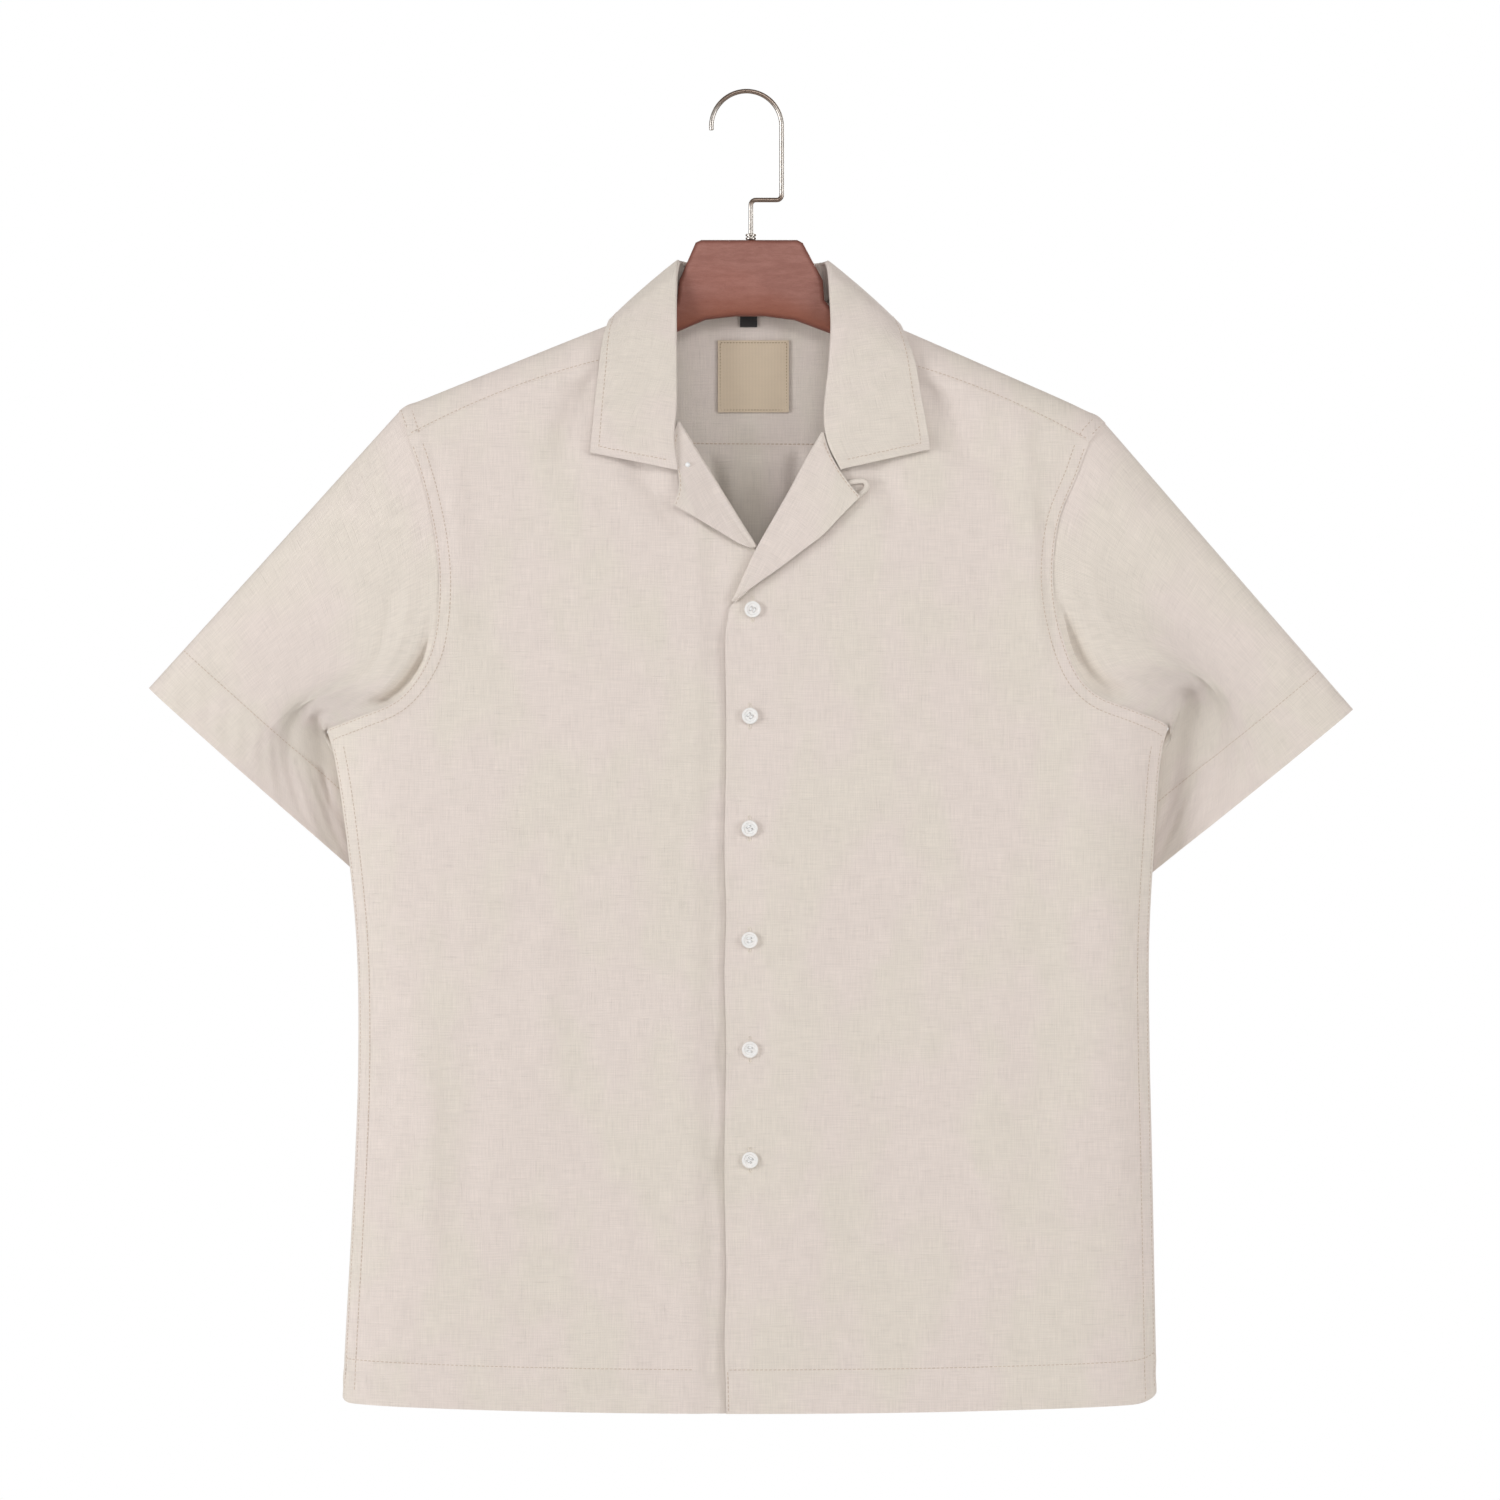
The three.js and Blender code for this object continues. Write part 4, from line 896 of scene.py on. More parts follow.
class Value:
    """A socket's value, or a number, in shader arithmetic."""

    def __init__(self, shader, socket):
        self.shader, self.socket = shader, socket

    def math(self, operation, *others, flip=False):
        terms = [self, *others]
        inputs = dict(enumerate(terms[::-1] if flip else terms))
        return self.shader.node("ShaderNodeMath", inputs, operation=operation)

    def __add__(self, other):
        return self.math("ADD", other)

    def __radd__(self, other):
        return self.math("ADD", other)

    def __sub__(self, other):
        return self.math("SUBTRACT", other)

    def __rsub__(self, other):
        return self.math("SUBTRACT", other, flip=True)

    def __mul__(self, other):
        return self.math("MULTIPLY", other)

    def __rmul__(self, other):
        return self.math("MULTIPLY", other)

    def between(self, low, high):
        """Zero below low, one above high, smooth in between."""
        inputs = {0: self, 1: low, 2: high}
        settings = {"interpolation_type": "SMOOTHSTEP"}
        return self.shader.node("ShaderNodeMapRange", inputs, **settings)


class Shader:
    """A material being made: constants on its surface, and nodes that vary it."""

    def __init__(self, name, **constants):
        self.material = bpy.data.materials.new(name)
        self.material.use_nodes = True
        self.tree = self.material.node_tree
        self.surface = self.tree.nodes["Principled BSDF"]
        for key, value in constants.items():
            self.surface.inputs[key.replace("_", " ")].default_value = value

    def link(self, value, socket):
        if isinstance(value, Value):
            self.tree.links.new(value.socket, socket)
        else:
            socket.default_value = value

    def node(self, kind, inputs=None, output=0, **settings):
        made = self.tree.nodes.new(kind)
        for key, value in settings.items():
            setattr(made, key, value)
        for key, value in (inputs or {}).items():
            self.link(value, made.inputs[key])
        return Value(self, made.outputs[output])

    def axes(self, vector, *which):
        """Single axes of a vector: 0 is X, 1 is Y and 2 is Z."""
        kind = "ShaderNodeSeparateXYZ"
        return [self.node(kind, {"Vector": vector}, output=axis) for axis in which]

    def noise(self, vector, scale, detail=2, roughness=0.5):
        inputs = {"Vector": vector, "Scale": scale, "Detail": detail, "Roughness": roughness}
        return self.node("ShaderNodeTexNoise", inputs)

    def stretch(self, vector, x, y, z, move=(0, 0, 0)):
        inputs = {"Vector": vector, "Scale": (x, y, z), "Location": move}
        return self.node("ShaderNodeMapping", inputs)

    def mix(self, share, a, b):
        """A colour between two."""
        inputs = {0: share, 6: a, 7: b}
        return self.node("ShaderNodeMix", inputs, output=2, data_type="RGBA")

    def tint(self, color, amount):
        """A colour made lighter or darker by an amount that varies."""
        return self.node("ShaderNodeVectorMath", {0: color, 3: amount}, operation="SCALE")

    def bump(self, height, distance):
        inputs = {"Height": height, "Distance": distance, "Strength": 1.0}
        return self.node("ShaderNodeBump", inputs)

    def finish(self, **inputs):
        for key, value in inputs.items():
            self.link(value, self.surface.inputs[key.replace("_", " ")])
        return self.material


# ---------------------------------------------------------------- linen
# Plain-weave linen, undyed beige: uneven yarns with slubs that run both ways, a faint
# pink and grey-green mottle, and a dry fuzzy surface.
YARN = 0.00058
YARN_RELIEF = 0.00011
BEIGE = (0.7, 0.632, 0.578, 1)
PINKISH = (0.725, 0.63, 0.598, 1)
GREENISH = (0.69, 0.642, 0.556, 1)


def linen_material():
    shader = Shader("linen", Sheen_Weight=0.22, Sheen_Roughness=0.6, Specular_IOR_Level=0.25)
    weave = shader.node("ShaderNodeUVMap", uv_map="weave")
    warp, weft = [(part * (math.pi / YARN)).math("SINE") for part in shader.axes(weave, 0, 1)]
    over = (warp * weft).between(-0.25, 0.25)
    height = warp.math("ABSOLUTE") * over + weft.math("ABSOLUTE") * (1 - over)
    across = shader.noise(shader.stretch(weave, 60, 1500, 1), 1.0, 1.5)
    along = shader.noise(shader.stretch(weave, 1500, 60, 1, (3.1, 7.7, 0)), 1.0, 1.5)
    thick_weft = shader.noise(shader.stretch(weave, 60, 700, 1, (9.2, 1.3, 0)), 1.0, 1)
    thick_warp = shader.noise(shader.stretch(weave, 700, 60, 1, (5.2, 8.3, 0)), 1.0, 1)
    slub = thick_weft.between(0.62, 0.78) + thick_warp.between(0.64, 0.8)
    cloud = shader.noise(shader.stretch(weave, 16, 9, 1, (2.2, 4.1, 0)), 1.0, 3)
    fine_cloud = shader.noise(shader.stretch(weave, 75, 60, 1, (1.7, 0.4, 0)), 1.0, 2)
    color = shader.mix(cloud.between(0.42, 0.62), PINKISH, GREENISH)
    color = shader.mix(0.62, color, BEIGE)
    yarns = 0.2 * across + 0.22 * along + 0.09 * fine_cloud
    # The weave's relief also lightens the yarn tops a little: painted shade between the yarns.
    light = 0.735 + yarns + 0.05 * height - 0.045 * slub
    relief = height + 0.9 * slub + 0.8 * across + 0.8 * along
    return shader.finish(
        Base_Color=shader.tint(color, light),
        Roughness=0.86 + 0.1 * across,
        Normal=shader.bump(relief, YARN_RELIEF),
    )


linen = linen_material()
back = back_panel(linen)
fronts = {side: front_panel(side, linen) for side in SIDES}
yoke = make_yoke(linen)
sleeves = {side: make_sleeve(side, linen) for side in SIDES}
lapels, lapel_grids = {}, {}
for side in SIDES:
    lapels[side], lapel_grids[side] = make_lapel(side, linen)
collar, collar_grid = make_collar(linen)


# ---------------------------------------------------------------- stitches
# Every sewn line is a row of short thread stitches that lie half sunk in the cloth: a
# seam's edge, the felled seams' second row, the hems, and the collar's topstitching.
# length of a stitch, gap to the next, and radius of the thread
LOCK_STITCH = (2.3, 0.75, 0.23)
INNER_STITCH = (2.7, 0.35, 0.36)


def thread_material(name, color):
    shader = Shader(name, Sheen_Weight=0.3, Specular_IOR_Level=0.4)
    place = shader.node("ShaderNodeTexCoord", output=3)
    twist = shader.noise(place, 2600, 1)
    light = 0.86 + 0.28 * twist
    return shader.finish(
        Base_Color=shader.tint(color, light),
        Roughness=0.55 + 0.2 * twist,
        Normal=shader.bump(twist, 0.00005),
    )


def stitch_row(points, normals, kind=LOCK_STITCH):
    """Corner points of the stitches along a path, each five rings of six, in millimetres."""
    pitch, gap, radius = kind
    run = lengths(points[None], 1)[0]
    count = max(1, int(run[-1] / (pitch + gap)))
    starts = (np.arange(count) + 0.5) * run[-1] / count
    share = np.array([-0.5, -0.36, 0, 0.36, 0.5])
    swell = np.array([0.35, 0.9, 1.0, 0.9, 0.35])
    sink = np.array([-0.75, 0.15, 0.45, 0.15, -0.75])
    at = starts[:, None] + share * pitch
    place = np.stack([np.interp(at, run, points[:, k]) for k in range(3)], axis=-1)
    up = unit(np.stack([np.interp(at, run, normals[:, k]) for k in range(3)], axis=-1))
    side = unit(np.cross(np.gradient(place, axis=1), up))
    place = place + up * (sink * radius)[:, None]
    angles = np.arange(6) / 6 * 2 * np.pi
    ring = (
        side[:, :, None] * np.cos(angles)[:, None] * 1.25
        + up[:, :, None] * np.sin(angles)[:, None] * 0.8
    )
    return place[:, :, None] + ring * (swell * radius)[:, None, None]


def stitches_object(name, rows, material):
    """All the stitches of one piece as one mesh of short closed threads."""
    corners = np.concatenate([stitch_row(*row) for row in rows])
    count = len(corners)
    index = np.arange(corners[..., 0].size).reshape(count, 5, 6)
    turned = np.roll(index, -1, axis=2)
    quads = np.stack([index[:, :-1], index[:, 1:], turned[:, 1:], turned[:, :-1]], axis=-1)
    caps = np.concatenate([index[:, 0], index[:, -1][:, ::-1]])
    mesh = bpy.data.meshes.new(name)
    faces = [*quads.reshape(-1, 4).tolist(), *caps.tolist()]
    mesh.from_pydata((corners.reshape(-1, 3) * MM).tolist(), [], faces)
    mesh.polygons.foreach_set("use_smooth", np.ones(len(faces), bool))
    mesh.update()
    turn_out(mesh)
    mesh.materials.append(material)
    new_object(name, mesh)


def turn_out(mesh, caps=()):
    """Closes a mesh with the caps given, as lists of corners, and turns its faces out."""
    work = bmesh.new()
    work.from_mesh(mesh)
    work.verts.ensure_lookup_table()
    for cap in caps:
        work.faces.new([work.verts[corner] for corner in cap])
    bmesh.ops.recalc_face_normals(work, faces=work.faces)
    work.to_mesh(mesh)
    work.free()


def body_row(side, line, face):
    """A line of x and z laid on the front or the back of the finished body."""
    if face > 0:
        return back_surface(line[:, 0], line[:, 1])
    return front_surface(side, line[:, 0], line[:, 1])


EDGE_STITCH = 1.3
SIDE_STITCH = 1.7
HEM_END = 282
UNDER_HEM_END, TOP_HEM_END = -40, -15
# x, and both ends' z, of the short row that closes the hem of the top front
HEM_CLOSE = (-15.6, -892.5, -921)
thread = thread_material("thread", (0.56, 0.45, 0.37))


def armhole_rows(side, face):
    """The two rows of a felled armhole, from below the yoke to the pit."""
    rows = []
    for distance in (EDGE_STITCH, FELL):
        line = inset(ARMHOLE_LINE[side], -OUT[side] * distance)
        edge = inside(SMOOTH_SIDE[side], side, line[:, 0], line[:, 1])
        corner = ARMHOLE[side][1][2]
        rows.append(body_row(side, line[(line[:, 1] < corner - 1) & (edge > 1.6)], face))
    return rows


def side_rows(side, face):
    """The two rows of a felled side seam, from the armhole to the hem."""
    rows = []
    for distance in (SIDE_STITCH, FELL):
        line = inset(SMOOTH_SIDE[side], -OUT[side] * distance)
        above = line[:, 1] > hem_line(line[:, 0]) + 1
        below = line[:, 1] < SIDE_LINE[side][0][1] - FELL
        rows.append(body_row(side, line[above & below], face))
    return rows


def hem_row(side, ends, face):
    """The row that holds the turned hem, between two ends."""
    x = np.linspace(*ends, 220)
    return body_row(side, np.stack([x, hem_line(x) + HEM_DEEP], axis=1), face)


for side in SIDES:
    inner = UNDER_HEM_END if side == "right" else TOP_HEM_END
    rows = [*armhole_rows(side, -1), *side_rows(side, -1)]
    rows.append(hem_row(side, (inner, OUT[side] * HEM_END), -1))
    if side == "left":
        x, *ends = HEM_CLOSE
        line = np.stack([np.full(20, x), np.linspace(*ends, 20)], axis=1)
        rows.append(body_row(side, line, -1))
    stitches_object(f"stitches_front_{side}", rows, thread)
rows = [row for side in SIDES for row in [*armhole_rows(side, 1), side_rows(side, 1)[1]]]
rows.append(hem_row("left", (-HEM_END, HEM_END), 1))
stitches_object("stitches_back", rows, thread)


def yoke_rows():
    """Along both seams of the yoke, and across its ends beside the armholes."""
    rows = []
    share = np.linspace(0.01, 0.99, 90)
    for side in SIDES:
        corner = np.array(ARMHOLE[side][1][1:3])
        neck = np.array([OUT[side] * NECK_CORNER[0], NECK_CORNER[1]])
        line = lerp(neck, corner, share[:, None])
        line[:, 1] += FRONT_TOP_BOW * bow(share) + EDGE_STITCH
        rows.append(form_point(*line.T, -1, yoke_lift(*line.T, -1)))
        for distance in (EDGE_STITCH, FELL):
            line = inset(ARMHOLE_LINE[side], -OUT[side] * distance)
            depth = inside(SMOOTH_TOP[side], side, line[:, 0], line[:, 1])
            line = line[(line[:, 1] > corner[1] + 1) & (depth > 0.5)]
            for face in (-1, 1):
                rows.append(form_point(*line.T, face, yoke_lift(*line.T, face)))
    right, left = (ARMHOLE[side][1][1] for side in SIDES)
    x = np.linspace(right + 2, left - 2, 240)
    z = back_seam_point(x)[1] + EDGE_STITCH
    rows.append(form_point(x, z, 1, yoke_lift(x, z, 1)))
    inner, normals = form_point(x, z, 1, yoke_lift(x, z, 1) - SHEER)
    rows.append((inner, -normals, INNER_STITCH))
    return rows


stitches_object("stitches_yoke", yoke_rows(), thread)


def cuff_row(side, face):
    """The row that holds the cuff's turned hem, found by trying places up the sleeve."""
    part = np.linspace(0.004, 0.996, 150)
    tries = np.linspace(0.6, 1, 80)
    up = from_cuff(side, part[:, None], tries[None], np.full((150, 80), face))
    along = np.array([np.interp(CUFF_HEM, line[::-1], tries[::-1]) for line in up])
    return sleeve_surface(side, part, along, np.full(150, face))


for side in SIDES:
    rows = [cuff_row(side, face) for face in (-1.0, 1.0)]
    stitches_object(f"stitches_sleeve_{side}", rows, thread)


def grid_row(grid, spots):
    """Points and normals of a fine grid at places given as row and column numbers."""
    normals = grid_normals(grid)
    rows, cols = np.array(spots, float).T
    low_r = np.minimum(rows.astype(int), len(grid) - 2)
    low_c = np.minimum(cols.astype(int), grid.shape[1] - 2)
    r, c = (rows - low_r)[:, None], (cols - low_c)[:, None]

    def pick(table):
        near = lerp(table[low_r, low_c], table[low_r, low_c + 1], c)
        return lerp(near, lerp(table[low_r + 1, low_c], table[low_r + 1, low_c + 1], c), r)

    return pick(grid), pick(normals)


COLLAR_MARGIN = 6
ROLL_COLUMN = 26
GORGE_COLUMN = 18


def collar_row(grid):
    """Topstitching round the leaves: down one end, along the outer edge, up the other."""
    reach, around = lengths(grid, 1), lengths(grid, 0)
    last = len(grid) - 1

    def column_at(row):
        line = reach[row]
        return np.interp(line[-1] - COLLAR_MARGIN, line, np.arange(len(line)))

    def row_at(column, from_end):
        line = around[:, int(column)]
        spot = line[-1] - COLLAR_MARGIN if from_end else COLLAR_MARGIN
        return np.interp(spot, line, np.arange(len(line)))

    down = np.linspace(ROLL_COLUMN, column_at(0), 30)
    up = np.linspace(column_at(last), ROLL_COLUMN, 30)
    first = [(row_at(column, False), column) for column in down]
    final = [(row_at(column, True), column) for column in up]
    between = np.linspace(first[-1][0], final[0][0], 260)
    middle = [(row, column_at(round(row))) for row in between]
    points, normals = grid_row(grid, [*first, *middle, *final])
    return points, normals * np.sign(np.sum(normals[:, 1] * points[:, 1]))


stitches_object("stitches_collar", [collar_row(collar_grid)], thread)
for side in SIDES:
    grid = lapel_grids[side]
    columns_up = np.linspace(GORGE_COLUMN, grid.shape[1] - 1.2, 50)
    points, normals = grid_row(grid, [(len(grid) - 1.9, column) for column in columns_up])
    stitches_object(f"stitches_gorge_{side}", [(points, facing(normals, TO_FRONT))], thread)


# ---------------------------------------------------------------- neck label, size tag
# A woven satin label, bare, stitched down all round inside the yoke, and a small folded
# black tag that hangs from the collar seam.
# lowest and highest x, lowest and highest z, how far inside the yoke, thickness, curl
NECK_LABEL = (-22.6, 27.3, -222.5, -172, 1.5, 0.7, 0.3)
SIZE_TAG = (-7, 5, -162.8, -149.5, 1.6, 0.5, 0.4)
LABEL_MARGIN = 1.7
LABEL_STITCH = (1.5, 0.6, 0.24)


def woven_material(name, color, ribs):
    """Close ribs across the cloth, with floating threads over them."""
    shader = Shader(name, Sheen_Weight=0.25, Specular_IOR_Level=0.45)
    weave = shader.node("ShaderNodeUVMap", uv_map="weave")
    across, up = shader.axes(weave, 0, 1)
    rib = (up * (math.tau / ribs)).math("SINE") * 0.5 + 0.5
    float_over = (across * (math.tau / ribs / 2.5)).math("SINE") * 0.5 + 0.5
    cloud = shader.noise(weave, 90, 3)
    # The ribs and floats also lighten the colour where they stand high: painted shade in the
    # grooves between them.
    light = 0.9 + 0.05 * rib + 0.04 * float_over + 0.1 * cloud
    return shader.finish(
        Base_Color=shader.tint(color, light),
        Roughness=0.5 + 0.2 * cloud,
        Normal=shader.bump(rib + 0.6 * float_over, 0.00006),
    )


def flat_patch(name, size, material, node):
    """A little label on the inner side of the yoke, its lower corners curling off."""
    low_x, high_x, low_z, high_z, inward, thickness, curl = size
    over, up = np.meshgrid(np.linspace(0, 1, 25), np.linspace(0, 1, 25))
    x, z = lerp(low_x, high_x, over), lerp(low_z, high_z, up)
    bulge = curl * (1 - bow(over)) * (1 - up)
    under = yoke_lift(x, z, 1) - inward
    points, normals = form_point(x, z, 1, under - thickness - bulge)
    uv = np.stack([x, z], axis=-1)
    piece = cloth(name, points, -normals, uv, material, thickness, [node])
    return piece


def label_rows():
    """One row along each edge of the neck label, on the side that shows."""
    low_x, high_x, low_z, high_z, inward, thickness, _ = NECK_LABEL
    left, right = low_x + LABEL_MARGIN, high_x - LABEL_MARGIN
    bottom, top = low_z + LABEL_MARGIN, high_z - LABEL_MARGIN
    corners = np.array([(left, bottom), (right, bottom), (right, top), (left, top)])
    rows = []
    for start, end in zip(corners, np.roll(corners, -1, axis=0)):
        x, z = lerp(start, end, np.linspace(0, 1, 20)[:, None]).T
        points, normals = form_point(x, z, 1, yoke_lift(x, z, 1) - inward - thickness)
        rows.append((points, -normals, LABEL_STITCH))
    return rows


satin = woven_material("label_satin", (0.59, 0.485, 0.365), 0.0009)
black_tape = woven_material("tag_tape", (0.018, 0.017, 0.018), 0.0007)
label = flat_patch("woven_neck_label", NECK_LABEL, satin, "neck_label")
tag = flat_patch("woven_size_tag", SIZE_TAG, black_tape, "size_tag")
label_thread = thread_material("label_thread", (0.3, 0.22, 0.13))
stitches_object("stitches_neck_label", label_rows(), label_thread)


# ---------------------------------------------------------------- button loop
# A narrow bias strip of the linen sewn into a round cord and caught in the facing at the
# top of the wearer's left lapel. It lies on the front, a little flattened.
LOOP_WIDTH = 2.6
LOOP_SIDES = 12
LOOP_END_SIZES = [0.3, 0.8]
LOOP = [(68, -273.6), (71.4, -272.9), (75.4, -272.2), (79.6, -272.3), (81.5, -274.8),
        (80.4, -278.2), (77.6, -280.6), (73.6, -283.6), (70.2, -285.4)]


def make_loop(material):
    """The strip as a tube of twelve sides along the route, its ends drawn in and capped."""
    line = spline(np.array(LOOP, float), 8)
    lift = SEAM_GAP + LOOP_WIDTH / 2
    points, normals = front_surface("left", line[:, 0], line[:, 1], lift)
    side = unit(np.cross(np.gradient(points, axis=0), normals))
    angle = np.linspace(0, 2 * np.pi, LOOP_SIDES, endpoint=False)
    full = np.ones(len(line) - 4)
    sizes = np.concatenate([LOOP_END_SIZES, full, LOOP_END_SIZES[::-1]])[:, None, None]
    lumps = 1 + 0.05 * np.sin(np.arange(len(line)) * 1.7)[:, None, None]
    across = side[:, None] * (np.cos(angle) * LOOP_WIDTH * 0.72)[None, :, None]
    proud = normals[:, None] * (np.sin(angle) * LOOP_WIDTH * 0.5)[None, :, None]
    grid = points[:, None] + (across + proud) * sizes * lumps
    around = np.broadcast_to(np.arange(LOOP_SIDES) * 0.5, grid.shape[:2])
    uv = np.stack([around, lengths(grid, 0) + 40], axis=-1)
    mesh = grid_mesh("linen_button_loop", grid, uv, ring=True)
    first = range(LOOP_SIDES)
    turn_out(mesh, [first, [corner + (len(line) - 1) * LOOP_SIDES for corner in first]])
    mesh.materials.append(material)
    new_object("linen_button_loop", mesh, ["button_loop"])


make_loop(linen)


# ---------------------------------------------------------------- buttonholes
# Six worked holes down the front edge, upright, their purl stitched over a gimp. The
# buttons cover all but the ends. White thread holds the buttons, and a knot of it is
# left on the right lapel.
# x and z of each button
BUTTONS = [(1.8, -361.6), (0, -435.8), (-0.3, -514.2), (-0.3, -591.9), (0, -668.2),
           (0, -745.2)]
HOLE_HALF = 8.6
HOLE_WIDE = 1.0
PURL = (0.62, 0.06, 0.34)
KNOT = (-43.4, -260.8)
KNOT_TILTS = (0.4, 1.9, 2.8)
KNOT_PROUD = 3.9
KNOT_STRAND = (3.6, 0.1, 0.9)
turn = np.linspace(0, 2 * np.pi, 40)
high = np.clip(1.6 * np.sin(turn), -1, 1) * HOLE_HALF
wide = HOLE_WIDE * np.cos(turn)
rows = [(*front_surface("left", x + wide, z + high), PURL) for x, z in BUTTONS]
stitches_object("stitches_buttonholes", rows, thread_material("gimp", (0.74, 0.68, 0.6)))

# the knot lies below the end of the collar
spot = np.linspace(-2, 2, 5)
knot = []
for tilt in KNOT_TILTS:
    x, z = KNOT[0] + spot * math.cos(tilt), KNOT[1] + spot * math.sin(tilt)
    points, normals = front_surface("right", x, z)
    points[:, 1] -= KNOT_PROUD
    knot.append((points, normals, KNOT_STRAND))
white_thread = thread_material("white_thread", (0.86, 0.87, 0.88))
stitches_object("thread_knot", knot, white_thread)


# ---------------------------------------------------------------- buttons
# Four-hole shell buttons, 11.3 mm across: a rounded rim round a shallow dish, polished,
# with the soft clouding of mother-of-pearl.
BUTTON_RADIUS = 5.65
BUTTON_THICK = 2.6
BUTTON_RIM = 1.5
BUTTON_SLOPE = 0.5
BUTTON_DISH = 0.6
BUTTON_EDGE = 0.28
BUTTON_HOLE_RADIUS = 0.65
BUTTON_HOLE_OFF = 1.25
BUTTON_TURN = 0.35
STRAND_HALF = 1.9
STRAND_PROUD = 0.55
STRAND = (3.6, 0.1, 0.34)


def pearl_material():
    shader = Shader("pearl", IOR=1.6, Specular_IOR_Level=0.6, Coat_Roughness=0.08)
    place = shader.node("ShaderNodeTexCoord", output=3)
    cloud = shader.noise(place, 260, 3, 0.6)
    layers = shader.noise(shader.stretch(place, 90, 400, 700), 1.0, 2)
    color = shader.mix(cloud.between(0.35, 0.7), (0.8, 0.8, 0.79, 1), (0.84, 0.81, 0.79, 1))
    color = shader.mix(layers.between(0.5, 0.75) * 0.4, color, (0.76, 0.8, 0.8, 1))
    return shader.finish(
        Base_Color=color, Roughness=0.14 + 0.16 * cloud, Coat_Weight=0.5 + 0.3 * layers
    )


def button_shape(material):
    """One button at the origin, its face towards -Y, in metres."""
    bpy.ops.object.select_all(action="DESELECT")
    lying = (math.pi / 2, 0, 0)
    bpy.ops.mesh.primitive_cylinder_add(
        vertices=64, radius=BUTTON_RADIUS * MM, depth=BUTTON_THICK * MM, rotation=lying
    )
    piece = bpy.context.object
    bpy.ops.object.transform_apply(location=False, rotation=True)
    bpy.ops.object.mode_set(mode="EDIT")
    work = bmesh.from_edit_mesh(piece.data)
    for face in work.faces:
        face.select_set(face.normal.y < -0.9)
    bmesh.update_edit_mesh(piece.data)
    bpy.ops.mesh.inset(thickness=BUTTON_RIM * MM)
    bpy.ops.mesh.inset(thickness=BUTTON_SLOPE * MM, depth=-BUTTON_DISH * MM)
    bpy.ops.object.mode_set(mode="OBJECT")
    off = BUTTON_HOLE_OFF * MM
    for x, z in ((-off, -off), (-off, off), (off, -off), (off, off)):
        bpy.ops.mesh.primitive_cylinder_add(
            vertices=20, radius=BUTTON_HOLE_RADIUS * MM, depth=9 * MM, rotation=lying,
            location=(x, 0, z),
        )
        drill = bpy.context.object
        cut = piece.modifiers.new("hole", "BOOLEAN")
        cut.object = drill
        apply_modifiers(piece)
        bpy.data.objects.remove(drill)
    bevel = piece.modifiers.new("edges", "BEVEL")
    bevel.width = BUTTON_EDGE * MM
    bevel.segments = 3
    bevel.limit_method = "ANGLE"
    bevel.angle_limit = math.radians(38)
    apply_modifiers(piece)
    smooth_by_angle(piece, 40)
    piece.data.materials.clear()
    piece.data.materials.append(material)
    return piece


def strand_rows(middle, turn):
    """Two upright strands over the dish of a button, each through a pair of its holes."""
    z = np.linspace(-STRAND_HALF, STRAND_HALF, 7)
    y = -STRAND_PROUD + 0.5 * (np.abs(z) / STRAND_HALF) ** 3
    rows = []
    for x in (-BUTTON_HOLE_OFF, BUTTON_HOLE_OFF):
        line = np.stack([np.full(7, x), y, z], axis=1)
        spots = np.array([turn @ Vector(spot) for spot in line])
        spots = spots + np.array(middle) / MM + [0, -BUTTON_THICK / 2 + BUTTON_DISH, 0]
        rows.append((spots, np.tile(TO_FRONT, (7, 1)), STRAND))
    return rows


pattern = button_shape(pearl_material())
for number in range(1, len(BUTTONS) + 1):
    low, high = (Vector(corner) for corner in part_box(f"button_{number}"))
    middle = (low + high) / 2
    turn = Matrix.Rotation(BUTTON_TURN * number, 3, "Y")
    mesh = pattern.data.copy()
    mesh.transform(Matrix.Translation(middle) @ turn.to_4x4())
    new_object(f"pearl_button_{number}", mesh, [f"button_{number}"])
    stitches_object(f"button_thread_{number}", strand_rows(middle, turn), white_thread)
bpy.data.objects.remove(pattern)


# ---------------------------------------------------------------- hanger body
# Flat hardwood, reddish-brown stain and satin varnish, sawn to shape with its edges
# eased. Its grain runs from end to end, and shade is painted darker on its flanks and
# along its lower edge.
# the lower edge, where shade is painted: height at the middle, and how fast it falls away to the
# ends
LOWER_EDGE_Z = -156.4
LOWER_EDGE_FALL = 0.003
MERGE = 0.00001


